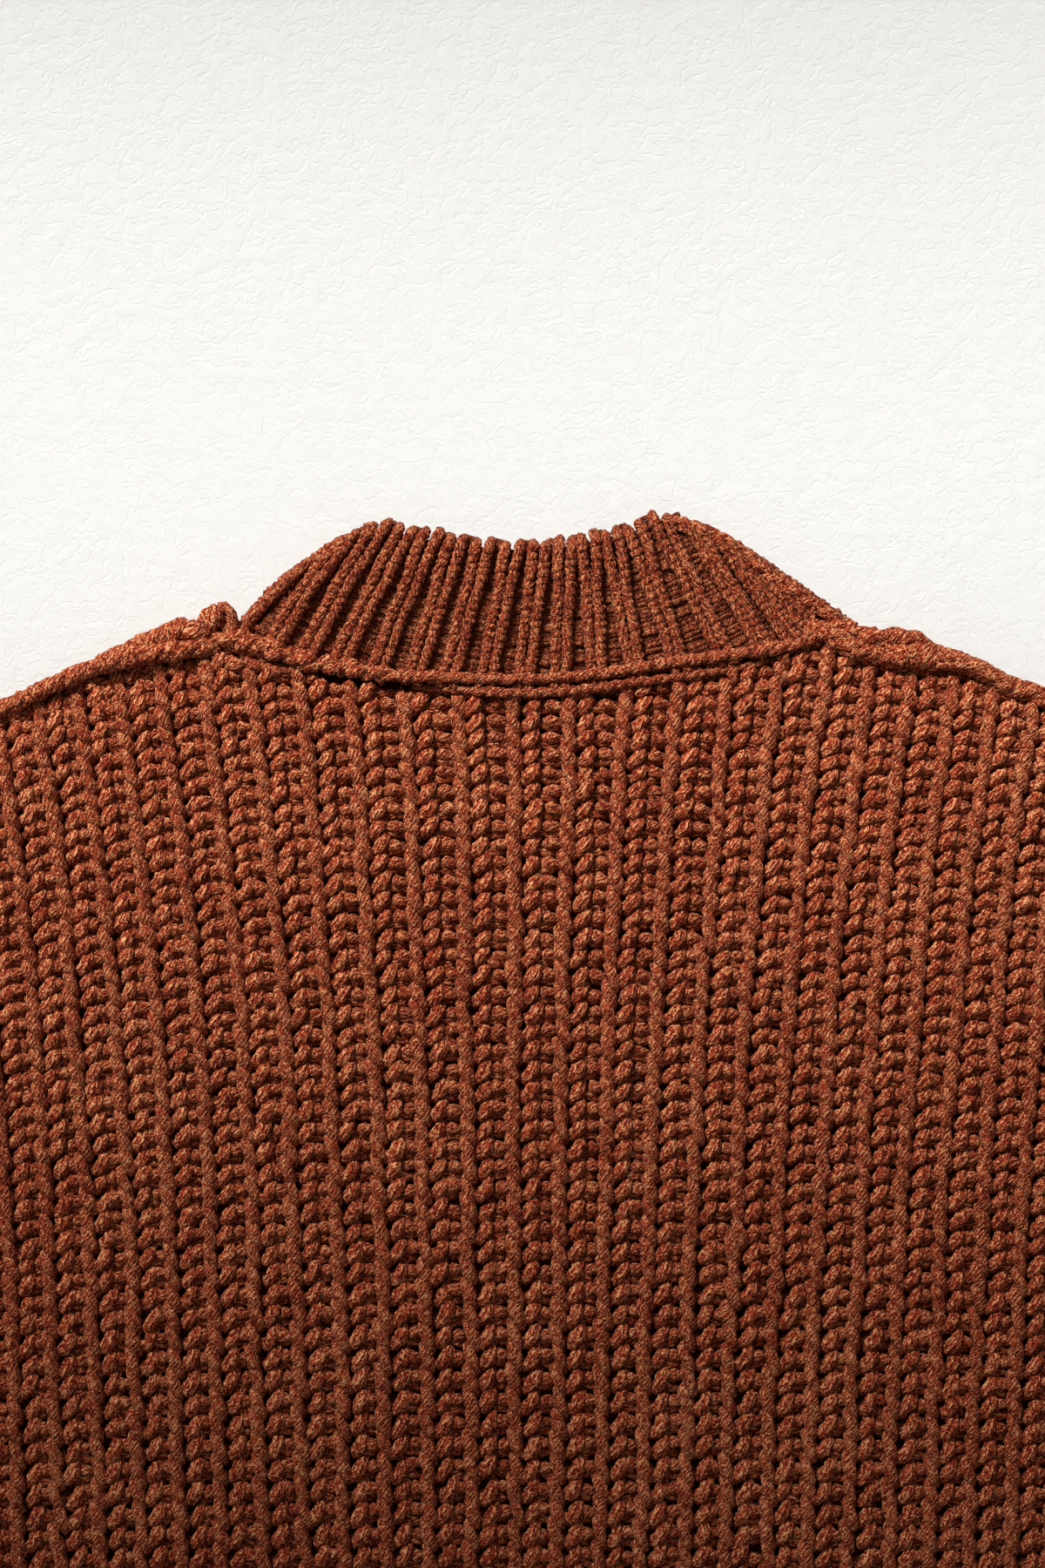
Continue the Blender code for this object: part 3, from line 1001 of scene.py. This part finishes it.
    def build_ground(self) -> bpy.types.Object:
        """Makes the thin knit shell under the loops, in the ground finish painted dark as shade."""
        rib = np.linspace(-self.half, self.half, 2 * BODY_RIBS + 1)[:, None]
        y = np.full(rib.shape, TIP_Y)
        for _ in range(EDGE_STEPS):
            y = 0.5 * (y + self.under_roll(self.rib_x(rib, y)))
        share = np.linspace(0, 1, PANEL_POINTS)[None, :]
        y = HEM_Y + 2.0 + share * (y - 0.4 - HEM_Y - 2.0)
        x = self.rib_x(rib, y)
        side = 1.5 * np.sign(rib) * (np.abs(rib) > self.half - 0.1)
        upper = np.stack([x - side, y, GROUND_HIGH + 0 * y], axis=-1)
        lower = np.stack([x - side, y, GROUND_LOW + 0 * y], axis=-1)
        return shell("back_panel", *slab(upper, lower), self.ground)


@dataclass
class Front:
    """The front panel, which lies on the surface under the back."""

    ground: bpy.types.Material
    back: Back

    def build(self) -> bpy.types.Object:
        """Makes the panel as one closed sheet, flat where it rests, in the ground finish painted
        dark as shade.

        Returns:
            The piece.
        """
        rib = np.linspace(-self.back.half, self.back.half, 2 * BODY_RIBS + 1)[:, None]
        top = np.full(rib.shape, TIP_Y)
        for _ in range(EDGE_STEPS):
            x = self.back.rib_x(rib, top)
            edge = self.back.under_roll(x) - FRONT_NECK_DROP * front_drop(x)
            top = 0.5 * (top + edge)
        share = np.linspace(0, 1, PANEL_POINTS)[None, :]
        y = HEM_Y + 1.5 + share * (top - HEM_Y - 2.0)
        inset = 1.2 * np.sign(rib) * (np.abs(rib) > self.back.half - 0.1)
        x = self.back.rib_x(rib, y) - inset
        upper = np.stack([x, y, LAYER - 0.2 + 0 * x], axis=-1)
        lower = np.stack([x - inset, y + 1.2 * (share < 0.01), SURFACE + 0 * x], axis=-1)
        piece = shell("front_panel", *slab(upper, lower), self.ground)
        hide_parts("front")
        return piece


# -------------------------------------------------------------------------------------- ropes
@dataclass(frozen=True)
class Fold:
    """A rolled fold of seam allowance: a few strands lying twisted together."""

    rows: tuple[tuple[float, float, float, float], ...]
    strands: int
    turn: float
    fullness: float = 0.68

    def lay(self, mesh: YarnMesh, seed: int) -> None:
        """Adds the fold.

        Args:
            mesh: What it is added to.
            seed: Seed of its unevenness.
        """
        control = np.array(self.rows)
        length = float(np.sum(np.linalg.norm(np.diff(control[:, :3], axis=0), axis=1)))
        places = np.linspace(0, len(control) - 1, int(length / 1.7) + 2)
        line = through(control[None], places)[0]
        rope(mesh, line[:, :3], line[:, 3], self.strands, self.turn, seed, self.fullness)


def wavering(
    rng: np.random.Generator, run: Array, step: float, middle: float, spread: float
) -> Array:
    """Random values that change evenly along a line.

    Args:
        rng: Where the values come from.
        run: Distances along the line.
        step: The distance from one random value to the next.
        middle: Their mean.
        spread: Their standard deviation.

    Returns:
        The value at each distance.
    """
    values = rng.normal(middle, spread, int(run[-1] // step) + 2)
    return np.interp(run, np.arange(0, run[-1] + step, step), values)


def rope(
    mesh: YarnMesh,
    line: Array,
    size: Array | float,
    strands: int,
    turn: float,
    seed: int,
    fullness: float = 0.62,
) -> None:
    """Lays a twisted rope of yarn along a line.

    Args:
        mesh: What it is added to.
        line: Points along its middle.
        size: The rope's radius at each point.
        strands: How many strands are twisted together.
        turn: Length of a full turn.
        seed: Seed of its unevenness.
        fullness: A strand's radius, as a share of the rope's.
    """
    rng = np.random.default_rng(seed)
    size = np.broadcast_to(size, len(line))
    ahead = unit(np.gradient(line, axis=0))
    side = unit(np.cross(ahead, np.array([0.0, 0.0, 1.0])))
    up = np.cross(side, ahead)
    run = np.concatenate([[0], np.cumsum(np.linalg.norm(np.diff(line, axis=0), axis=1))])
    wander = wavering(rng, run, step=9.0, middle=0.0, spread=0.6)
    paths, sizes = [], []
    for k in range(strands):
        angle = (2 * np.pi * (run / turn + k / strands) + wander)[:, None]
        reach = (size * (1 - fullness))[:, None]
        paths.append(line + reach * (np.cos(angle) * side + np.sin(angle) * up))
        swell = wavering(rng, run, step=4.0, middle=1.0, spread=0.13)
        sizes.append(size * fullness * swell)
    mesh.add(np.array(paths), np.array(sizes), sides=8, lay=35.0)


def along(low: float, high: float, step: float) -> Array:
    """Evenly spaced places from low to high, about a step apart."""
    return np.linspace(low, high, max(2, int(round(abs(high - low) / step)) + 1))


# ------------------------------------------------------------------------------------- sleeve
@dataclass
class Sleeve(RibbedCloth):
    """A sleeve: a tube of ribbed knitting, flattened, whose cuff is open."""

    side: Side
    back: Back
    yarn: bpy.types.Material
    ground: bpy.types.Material
    half: float = 7.0
    rows: int = 55
    armhole_gap: float = 0.5
    length: float = 440.0
    cuff_way: tuple[float, float] = (0.72, -0.6)

    def plan(self, rib: Array, row: Array) -> tuple[Array, Array]:
        """Where a rib line and a course cross. Courses count from the cuff to the armhole."""
        turned = -1.0 if self.side is Side.RIGHT else 1.0
        share = (self.half + turned * rib) / (2 * self.half)
        t = 1 - np.asarray(row, float) / self.rows
        share, t = np.broadcast_arrays(share, t)
        inside = np.clip(t, 0.0, 1.0)
        top, under = bezier(SLEEVE_TOP, inside), bezier(SLEEVE_UNDER, inside)
        spot = top + share[..., None] * (under - top)
        tip, underarm = np.array(SLEEVE_TOP[0]), np.array(SLEEVE_UNDER[0])
        seam = tip + share[..., None] * (underarm - tip)
        bow = self.back.side_x(seam[..., 1]) + self.armhole_gap - seam[..., 0]
        past = (t - inside) * self.length
        x = spot[..., 0] + (1 - inside) ** 6 * bow + self.cuff_way[0] * past
        return self.side.value * x, spot[..., 1] + self.cuff_way[1] * past * (t > 1)

    def within(self, points: Array, line: Array) -> Array:
        """Which points of the yarn lie short of the armhole seam."""
        return line[..., 1] < self.rows - 0.4

    def build(self) -> list[bpy.types.Object]:
        """Knits the sleeve, its cuff's edge and its seam.

        Returns:
            The pieces.
        """
        name = self.side.name.lower()
        mesh = YarnMesh()
        ribs = np.arange(-7.5, 8.5)
        rows = np.arange(0, self.rows)
        seed = 71 if self.side is Side.LEFT else 72
        self.knit(mesh, KNIT_LOOP, ribs, rows, [Detail.SLEEVE] * len(ribs), seed, self.within)
        self.cast_on(mesh)
        y = along(UNDERARM_Y + 1, TIP_Y - 3, 2.5)
        x = self.side.value * (self.back.side_x(y) + 0.4)
        line = np.stack([x, y, 9.9 + 0 * y], axis=-1)
        rope(mesh, line, size=2.6, strands=2, turn=13.0, seed=seed)
        stitches = mesh.build(f"sleeve_{name}_stitches", self.yarn)
        tube = self.build_ground(f"sleeve_{name}_tube")
        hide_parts(f"sleeve_{name}")
        return [tube, stitches]

    def ring(self, rows: Array, outline: Sequence[tuple[float, float]], columns: int) -> Array:
        """Rings round the flattened tube.

        Args:
            rows: Courses to make a ring at.
            outline: Inset from the fold and height, from the upper layer round to the lower one.
            columns: Points across each layer between its folds.

        Returns:
            The points, of shape (rows, points, 3).
        """
        pitch = self.pitch(np.zeros(len(rows)), rows)
        width = 2 * self.half * pitch
        high, low = outline[0][1], outline[-1][1]
        spots = [(d / width - 0.5, z) for d, z in outline[::-1]]
        step = np.linspace(0, 1, columns + 2)[1:-1]
        first, last = outline[0][0] / width, 1 - outline[0][0] / width
        spots += [(first + s * (last - first) - 0.5, high) for s in step]
        spots += [(0.5 - d / width, z) for d, z in outline]
        spots += [(last + s * (first - last) - 0.5, low) for s in step]
        rib = np.stack([2 * self.half * share for share, _ in spots], axis=1)
        height = np.array([z for _, z in spots])[None, :] + 0 * rib
        x, y = self.plan(rib, rows[:, None] + 0 * rib)
        return np.stack([x, y, height], axis=-1)

    def build_ground(self, name: str) -> bpy.types.Object:
        """Makes the thin tube under the loops, open at the cuff and the armhole, in the ground
        finish painted dark as shade.
        """
        rows = np.linspace(0.3, self.rows - 0.3, 40)
        folds = ((5.2, GROUND_HIGH), (3.4, 4.8), (3.0, 2.6), (3.6, 0.9), (5.6, 0.1))
        slack = ((6.4, 5.4), (5.6, 5.2), (5.2, 5.1), (5.6, 5.0), (6.4, 4.8))
        outer = self.ring(rows, folds, 18)
        inner = self.ring(rows, slack, 18)
        rings = np.concatenate([outer, inner[::-1]])
        if self.side is Side.RIGHT:
            rings = rings[:, ::-1]
        return shell(name, rings.reshape(-1, 3), pipe(rings), self.ground)

    def cast_on(self, mesh: YarnMesh) -> None:
        """Adds the cuff's edge: a cord all the way round the opening."""
        edge = ((4.0, 8.4), (1.6, 7.0), (0.8, 5.2), (1.6, 3.4), (4.0, 2.3))
        loop = self.ring(np.array([0.25]), edge, 70)
        loop = np.concatenate([loop, loop[:, :2]], axis=1)
        mesh.add(loop, np.full(loop.shape[:2], 2.2), sides=6, lay=40.0)


# ------------------------------------------------------------------------------------- collar
@dataclass
class Collar(RibbedCloth):
    """The mock neck: finer ribs, each a pair of cords that end in round tips."""

    yarn: bpy.types.Material
    ground: bpy.types.Material
    half: float = 8.0
    rows: float = 20.0
    crest: float = 11.6
    cord: float = 2.22
    apart: float = 2.12
    cast_off: float = 1.1
    extra_rib: float = 7.5
    purl_step: float = 0.56
    purl_size: float = 1.08
    purl_height: float = 9.1

    def plan(self, rib: Array, row: Array) -> tuple[Array, Array]:
        """Where a rib line and a course cross. Courses count from the neck seam up."""
        rib, t = np.broadcast_arrays(np.asarray(rib, float), np.asarray(row, float) / self.rows)
        inside = np.clip(rib, -self.half, self.half)
        nudge = np.where(rib < 0.0, 0.5, -0.5)
        x, y = self.spot(inside, t)
        near_x, near_y = self.spot(inside + nudge, t)
        past = (rib - inside) / nudge
        return x + past * (near_x - x), y + past * (near_y - y)

    def spot(self, rib: Array, t: Array) -> tuple[Array, Array]:
        """Plan point on a rib line, t of the way up the collar."""
        seam_x = COLLAR_LINES.at(rib, 1)
        seam_y = NECK_SEAM.at(seam_x) + 0.3
        bulge = 3.2 * np.sin(np.pi * np.clip(t, 0, 1)) * np.clip((-4.8 - rib) / 3.2, 0, 1)
        x = seam_x + t * (COLLAR_LINES.at(rib, 2) - seam_x) - 0.8 * bulge
        return x, seam_y + t * (COLLAR_LINES.at(rib, 3) - seam_y) + 0.6 * bulge

    def build(self) -> list[bpy.types.Object]:
        """Knits the collar.

        Returns:
            The pieces.
        """
        mesh = YarnMesh()
        self.lay_cords(mesh)
        self.lay_purls(mesh)
        stitches = mesh.build("collar_stitches", self.yarn)
        tube = self.build_ground()
        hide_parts("collar")
        return [tube, stitches]

    def lay_cords(self, mesh: YarnMesh) -> None:
        """Lays two cords along every rib, over the cast-off edge at their ends."""
        rng = np.random.default_rng(5)
        ribs = np.append(np.arange(-8.0, 9.0), self.extra_rib)
        end = self.rows - self.cast_off
        row = along(-0.6, end, 0.30)
        row = np.concatenate([row, end + np.array([0.35, 0.65, 0.8])])
        dip = np.zeros(len(row))
        dip[-4:] = (0.3, 1.5, 3.4, 5.2)
        for k, hand in enumerate((-1.0, 1.0)):
            shape = (len(ribs), len(row))
            rib = np.broadcast_to(ribs[:, None], shape)
            each = (len(ribs), 1)
            rows = np.broadcast_to(row[None, :], shape) * (1 + rng.normal(0, 0.012, each))
            pitch = self.pitch(rib, rows)
            beat = 2 * np.pi * (rows + 0.5 * k)
            sway = 0.22 * np.sin(beat) + 0.25 * np.sin(rows * 0.7 + rng.uniform(0, 6, each))
            aside = hand * (self.apart + 0.4 * smooth_step(rows, 11.0, 18.0)) + sway
            height = self.crest - dip + 0.25 * np.cos(beat) + rng.normal(0, 0.25, each)
            height = height - 1.2 * (ribs == self.extra_rib)[:, None]
            points = self.settle(rib + aside / pitch, rows, height)
            size = self.cord * (1 + 0.07 * np.cos(beat)) * np.where(dip > 3, 0.85, 1.0)
            mesh.add(points, size, sides=8, lay=-15.0 if hand < 0 else 42.0)

    def lay_purls(self, mesh: YarnMesh) -> None:
        """Lays a short bar across every valley in every course, square to the ribs."""
        rng = np.random.default_rng(6)
        valleys = np.arange(-7.5, 8.5)[:, None, None]
        rows = np.arange(0.0, self.rows, self.purl_step)[None, :, None]
        across = np.array([-1.0, -0.45, 0.45, 1.0])
        lift = np.array([-1.6, -0.2, -0.2, -1.6])
        shape = (len(valleys), rows.shape[1], len(across))
        rib = np.broadcast_to(valleys, shape).astype(float)
        row = rows + 0.3 + rng.normal(0, 0.05, shape[:2])[..., None] + 0.0 * rib
        pitch = self.pitch(rib, row)
        gap = np.maximum(pitch - 2 * self.apart - 0.9 * self.cord, 1.6)
        course = np.subtract(self.plan(rib + 0.5, row), self.plan(rib - 0.5, row))
        wale = np.subtract(self.plan(rib, row + 0.5), self.plan(rib, row - 0.5))
        lean = np.sum(course * wale, axis=0) / np.sum(wale * wale, axis=0)
        aside = (0.5 * gap * across + rng.normal(0, 0.3, shape[:2])[..., None]) / pitch
        height = self.purl_height + lift + rng.normal(0, 0.5, shape[:2])[..., None] - 0.06 * row
        height = height + smooth_step(rib, 2.0, 5.0) * (1.3 * smooth_step(row, 11.0, 16.0) - 0.6)
        points = self.settle(rib + aside, row - aside * lean, height)
        size = self.purl_size * (1 + rng.normal(0, 0.12, (shape[0] * shape[1], 1)))
        mesh.add(points.reshape(-1, len(across), 3), size, sides=5, lay=40.0)

    def build_ground(self) -> bpy.types.Object:
        """Makes the thin tube under the cords, whose front layer ends lower, in the ground finish
        painted dark as shade.
        """
        rows = np.linspace(-0.5, self.rows - 1.1, 12)
        high, low = [], []
        share = np.linspace(0, 1, 65)
        for layer, heights in ((high, (7.4, 5.6)), (low, (0.1, 4.6))):
            for height in heights:
                rib = (2 * share - 1)[:, None] * (self.half - 0.12)
                row = rows[None, :] + 0 * rib
                x, y = self.plan(rib, row)
                if layer is low:
                    t = row / self.rows
                    drop = FRONT_NECK_DROP * (1 - t) + 14.0 * t
                    y = y - drop * front_drop(COLLAR_LINES.at(rib, 1))
                layer.append(np.stack([x, y, height + 0 * x], axis=-1))
        outer = np.concatenate([high[0], low[0][::-1]]).transpose(1, 0, 2)
        inner = np.concatenate([high[1], low[1][::-1]]).transpose(1, 0, 2)
        rings = np.concatenate([outer, inner[::-1]])
        faces = pipe(rings)[:, ::-1]
        return shell("collar_tube", rings.reshape(-1, 3), faces, self.ground)


# -------------------------------------------------------------------------------------- seams
NECK_ROLL = Fold(
    (
        (-118.0, 294.0, 11.0, 3.4),
        (-112.0, 292.6, 12.2, 4.6),
        (-105.5, 291.6, 12.6, 5.0),
        (-100.5, 290.2, 12.2, 4.1),
        (-95.5, 288.9, 12.7, 4.9),
        (-91.0, 287.4, 12.2, 3.7),
        (-87.0, 286.2, 12.5, 4.4),
        (-82.0, 284.4, 12.7, 4.1),
        (-77.8, 283.3, 12.0, 2.9),
        (-73.8, 283.3, 12.7, 4.2),
        (-69.2, 282.0, 12.0, 2.8),
        (-64.7, 281.9, 12.7, 4.1),
        (-59.8, 280.5, 12.2, 2.7),
        (-54.8, 280.2, 12.8, 3.5),
        (-49.5, 279.3, 12.9, 2.5),
        (-43.0, 278.9, 13.2, 2.8),
        (-33.3, 278.4, 13.4, 2.4),
        (-13.3, 277.9, 13.5, 2.5),
        (6.7, 278.1, 13.5, 2.4),
        (26.7, 279.6, 13.5, 2.5),
        (40.0, 281.4, 13.5, 2.4),
        (53.3, 283.6, 13.5, 2.5),
        (66.7, 285.5, 13.5, 2.6),
        (80.0, 287.3, 13.5, 2.6),
        (93.7, 289.3, 13.2, 2.8),
        (103.0, 291.0, 12.8, 2.9),
        (113.0, 294.2, 11.5, 2.8),
    ),
    strands=2,
    turn=15.0,
    fullness=0.70,
)
NECK_LUMPS = Fold(
    (
        (-118.0, 287.0, 9.6, 2.2),
        (-113.5, 284.6, 10.4, 2.7),
        (-108.7, 282.9, 11.4, 3.3),
        (-106.0, 283.4, 10.6, 2.2),
        (-102.8, 282.8, 11.3, 3.1),
        (-99.0, 283.0, 10.4, 2.1),
        (-95.0, 281.9, 10.8, 2.6),
        (-91.0, 281.6, 10.0, 1.8),
        (-86.0, 280.6, 9.4, 1.7),
    ),
    strands=2,
    turn=13.0,
    fullness=0.78,
)
NECK_CORD = Fold(
    (
        (-42.0, 275.2, 9.8, 1.6),
        (-30.0, 274.0, 10.8, 1.8),
        (-18.0, 273.2, 12.2, 2.0),
        (-6.0, 272.7, 12.8, 2.1),
        (6.7, 272.6, 12.9, 2.1),
        (26.7, 274.2, 12.9, 2.1),
        (40.0, 276.2, 12.9, 2.0),
        (53.3, 277.8, 12.8, 2.0),
        (66.7, 279.6, 12.5, 1.9),
        (80.0, 281.8, 11.6, 1.7),
        (92.0, 284.2, 10.4, 1.6),
    ),
    strands=2,
    turn=10.0,
)
COLLAR_FOLD = Fold(
    (
        (56.0, 339.0, 8.6, 2.4),
        (62.5, 336.8, 9.4, 3.2),
        (73.0, 333.0, 9.8, 3.3),
        (84.5, 326.0, 9.8, 3.3),
        (96.0, 316.6, 9.8, 3.4),
        (108.0, 308.4, 9.8, 3.4),
        (117.0, 302.6, 9.8, 3.4),
        (124.5, 297.2, 9.4, 3.0),
    ),
    strands=2,
    turn=15.0,
    fullness=0.66,
)
LEFT_FOLDS = (
    Fold(
        (
            (-293.0, 231.3, 8.0, 3.3),
            (-246.0, 248.8, 9.2, 3.5),
            (-200.0, 266.3, 10.0, 3.4),
            (-186.7, 272.4, 10.4, 3.5),
            (-166.7, 281.4, 11.0, 3.9),
            (-156.7, 284.8, 11.2, 4.4),
            (-145.0, 287.2, 11.6, 4.3),
            (-131.7, 289.0, 11.2, 4.5),
            (-116.0, 291.6, 10.0, 3.8),
        ),
        strands=4,
        turn=34.0,
        fullness=0.60,
    ),
    Fold(
        (
            (-163.0, 284.5, 8.0, 2.4),
            (-150.0, 290.0, 9.2, 3.3),
            (-141.0, 293.0, 10.0, 4.0),
            (-131.7, 296.2, 10.2, 4.9),
            (-124.0, 295.8, 9.8, 4.5),
            (-115.0, 294.0, 8.4, 3.2),
        ),
        strands=4,
        turn=28.0,
        fullness=0.60,
    ),
    Fold(
        (
            (-128.0, 292.5, 9.0, 3.2),
            (-122.5, 297.2, 11.0, 4.6),
            (-118.6, 301.2, 12.4, 5.0),
            (-115.8, 304.0, 12.4, 3.6),
        ),
        strands=3,
        turn=26.0,
        fullness=0.64,
    ),
    Fold(
        (
            (-116.4, 304.6, 11.8, 2.6),
            (-113.6, 304.9, 12.4, 2.8),
            (-111.6, 302.0, 12.4, 2.6),
            (-111.2, 297.6, 12.0, 2.5),
            (-111.8, 292.8, 11.6, 2.5),
            (-113.4, 288.0, 10.6, 2.3),
        ),
        strands=2,
        turn=20.0,
        fullness=0.70,
    ),
    Fold(
        (
            (-114.6, 301.2, 10.0, 3.0),
            (-113.6, 297.4, 9.2, 3.8),
            (-110.2, 295.8, 8.2, 3.8),
            (-106.6, 296.4, 7.6, 3.3),
            (-103.8, 298.6, 7.2, 2.6),
        ),
        strands=2,
        turn=20.0,
        fullness=0.70,
    ),
)
RIGHT_FOLDS = (
    Fold(
        (
            (131.0, 286.4, 8.5, 3.2),
            (140.0, 287.2, 10.2, 4.8),
            (148.3, 286.8, 10.8, 5.2),
            (156.7, 285.8, 10.8, 5.0),
            (166.7, 284.6, 10.2, 4.3),
            (176.7, 280.8, 9.8, 4.1),
            (186.7, 275.2, 9.5, 4.1),
            (200.0, 270.9, 9.2, 4.2),
            (246.0, 251.0, 8.6, 4.0),
            (293.0, 231.5, 8.0, 3.4),
        ),
        strands=5,
        turn=38.0,
        fullness=0.54,
    ),
    Fold(
        (
            (108.0, 295.0, 10.5, 2.8),
            (113.0, 296.6, 11.6, 3.6),
            (118.8, 294.8, 11.8, 4.4),
            (125.0, 290.3, 11.8, 4.4),
            (133.3, 287.9, 11.0, 3.9),
            (141.0, 286.2, 9.6, 2.8),
        ),
        strands=4,
        turn=30.0,
        fullness=0.60,
    ),
    Fold(
        (
            (114.0, 297.6, 8.6, 3.4),
            (121.0, 297.4, 9.6, 3.8),
            (128.3, 294.9, 10.2, 4.2),
            (136.7, 293.4, 10.6, 4.2),
            (145.7, 293.8, 10.4, 3.9),
            (152.7, 291.6, 9.8, 3.4),
            (161.0, 288.2, 8.6, 2.2),
        ),
        strands=3,
        turn=21.0,
        fullness=0.62,
    ),
)


@dataclass
class NeckSeam:
    """The neck seam's allowances, rolled outwards into ropes."""

    yarn: bpy.types.Material

    def build(self) -> bpy.types.Object:
        """Twists the seam's rope, its lumps on the left and the thinner cord below it.

        Returns:
            The piece.
        """
        mesh = YarnMesh()
        for seed, fold in enumerate((NECK_ROLL, NECK_LUMPS, NECK_CORD, COLLAR_FOLD)):
            fold.lay(mesh, seed + 3)
        piece = mesh.build("neck_seam_roll", self.yarn)
        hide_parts("neck_seam_ridge")
        return piece


@dataclass
class ShoulderSeam:
    """A shoulder seam's allowances, rolled outwards into thick lumpy folds."""

    side: Side
    yarn: bpy.types.Material

    def build(self) -> bpy.types.Object:
        """Twists the seam's folds.

        Returns:
            The piece.
        """
        mesh = YarnMesh()
        for seed, fold in enumerate(LEFT_FOLDS if self.side is Side.LEFT else RIGHT_FOLDS):
            fold.lay(mesh, seed + 21)
        name = self.side.name.lower()
        piece = mesh.build(f"shoulder_{name}_roll", self.yarn)
        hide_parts(f"shoulder_ridge_{name}")
        return piece


@dataclass
class Studio:
    """Floor, light and camera."""

    floor: bpy.types.Material
    aim_y: float = 237.7
    lens: float = 85.0
    sensor: float = 36.0
    view_width: float = 600.0
    garment_height: float = 12.0
    reach: float = 30.0
    floor_drop: float = 0.0002
    strip_place: Point = (-0.46, 1.10, 0.84)
    strip_aim: Point = (-0.02, 0.36, 0.0)
    strip_size: tuple[float, float] = (1.6, 0.40)
    strip_beam: float = 20.0
    strip_power: float = 2.88
    strip_colour: Colour = (1.0, 0.985, 0.955)
    day_from: Point = (-2.6, 3.4, 3.0)
    day_power: float = 1.2
    day_angle: float = 24.0
    day_colour: Colour = (0.99, 0.99, 1.0)
    room_colour: Colour = (0.98, 0.97, 0.98)
    room_power: float = 0.20

    def build(self) -> None:
        """Builds the floor, the lights and the camera."""
        mesh = bpy.data.meshes.new("floor")
        signs = ((-1, -1), (1, -1), (1, 1), (-1, 1))
        corners = [(x * self.reach, y * self.reach, 0) for x, y in signs]
        mesh.from_pydata(corners, [], [(0, 1, 2, 3)])
        mesh.materials.append(self.floor)
        floor = bpy.data.objects.new("floor", mesh)
        bpy.context.scene.collection.objects.link(floor)
        floor.location.z = -self.floor_drop
        self.strip()
        self.daylight()
        world = bpy.data.worlds.new("studio")
        world.use_nodes = True
        background = world.node_tree.nodes["Background"]
        background.inputs["Color"].default_value = (*self.room_colour, 1.0)
        background.inputs["Strength"].default_value = self.room_power
        bpy.context.scene.world = world
        bpy.context.scene.view_settings.view_transform = "Standard"
        self.camera()

    def strip(self) -> None:
        """Adds the strip light whose beam lies level across the yoke."""
        data = bpy.data.lights.new("strip", "AREA")
        data.shape = "RECTANGLE"
        data.size, data.size_y = self.strip_size
        data.spread = np.radians(self.strip_beam)
        data.energy = self.strip_power
        data.color = self.strip_colour
        self.stand(data, self.strip_place, Vector(self.strip_place) - Vector(self.strip_aim))

    def daylight(self) -> None:
        """Adds an even, soft light that is the same all over the floor."""
        data = bpy.data.lights.new("daylight", "SUN")
        data.angle = np.radians(self.day_angle)
        data.energy = self.day_power
        data.color = self.day_colour
        self.stand(data, self.day_from, Vector(self.day_from))

    def stand(self, data: bpy.types.Light, place: Point, back: Vector) -> None:
        """Stands a light in its place, with its width level.

        Args:
            data: The light.
            place: Where it stands, in metres.
            back: The direction opposite to the one in which it shines.
        """
        back = back.normalized()
        wide = (Vector((1.0, 0.0, 0.0)) - back * back.x).normalized()
        lamp = bpy.data.objects.new(data.name, data)
        lamp.rotation_euler = Matrix((wide, back.cross(wide), back)).transposed().to_euler()
        lamp.location = place
        bpy.context.scene.collection.objects.link(lamp)

    def camera(self) -> None:
        """Adds the camera, straight above the yoke, with the long side of the view upright."""
        data = bpy.data.cameras.new("camera")
        data.lens = self.lens
        data.sensor_width = self.sensor
        camera = bpy.data.objects.new("camera", data)
        distance = self.view_width * self.lens / self.sensor
        camera.location = (0.0, self.aim_y * MM, (distance + self.garment_height) * MM)
        bpy.context.scene.collection.objects.link(camera)
        bpy.context.scene.camera = camera


def main() -> None:
    """Builds the pullover piece by piece, then the studio."""
    logging.basicConfig(level=logging.INFO, format="%(message)s")
    yarn = YarnFinish("rust_yarn").make()
    # The collar is the same yarn as the body, given darker colours as painted shade
    shaded_collar_yarn = YarnFinish(
        "rust_collar_yarn_painted_shade",
        shadow=(0.056, 0.0028, 0.0012),
        body=(0.275, 0.0335, 0.0088),
        fleck=(0.58, 0.235, 0.096),
    ).make()
    # The ground finish is the same knit painted far darker than the yarn: painted shade in the
    # holes between loops
    ground = PaintedShadeGroundFinish("rust_ground_painted_shade").make()
    back = Back(yarn, ground)
    Front(ground, back).build()
    back.build()
    for side in Side:
        Sleeve(side, back, yarn, ground).build()
    Collar(shaded_collar_yarn, ground).build()
    NeckSeam(yarn).build()
    for side in Side:
        ShoulderSeam(side, yarn).build()
    Studio(FloorFinish("pale_surface").make()).build()


if __name__ == "__main__":
    main()
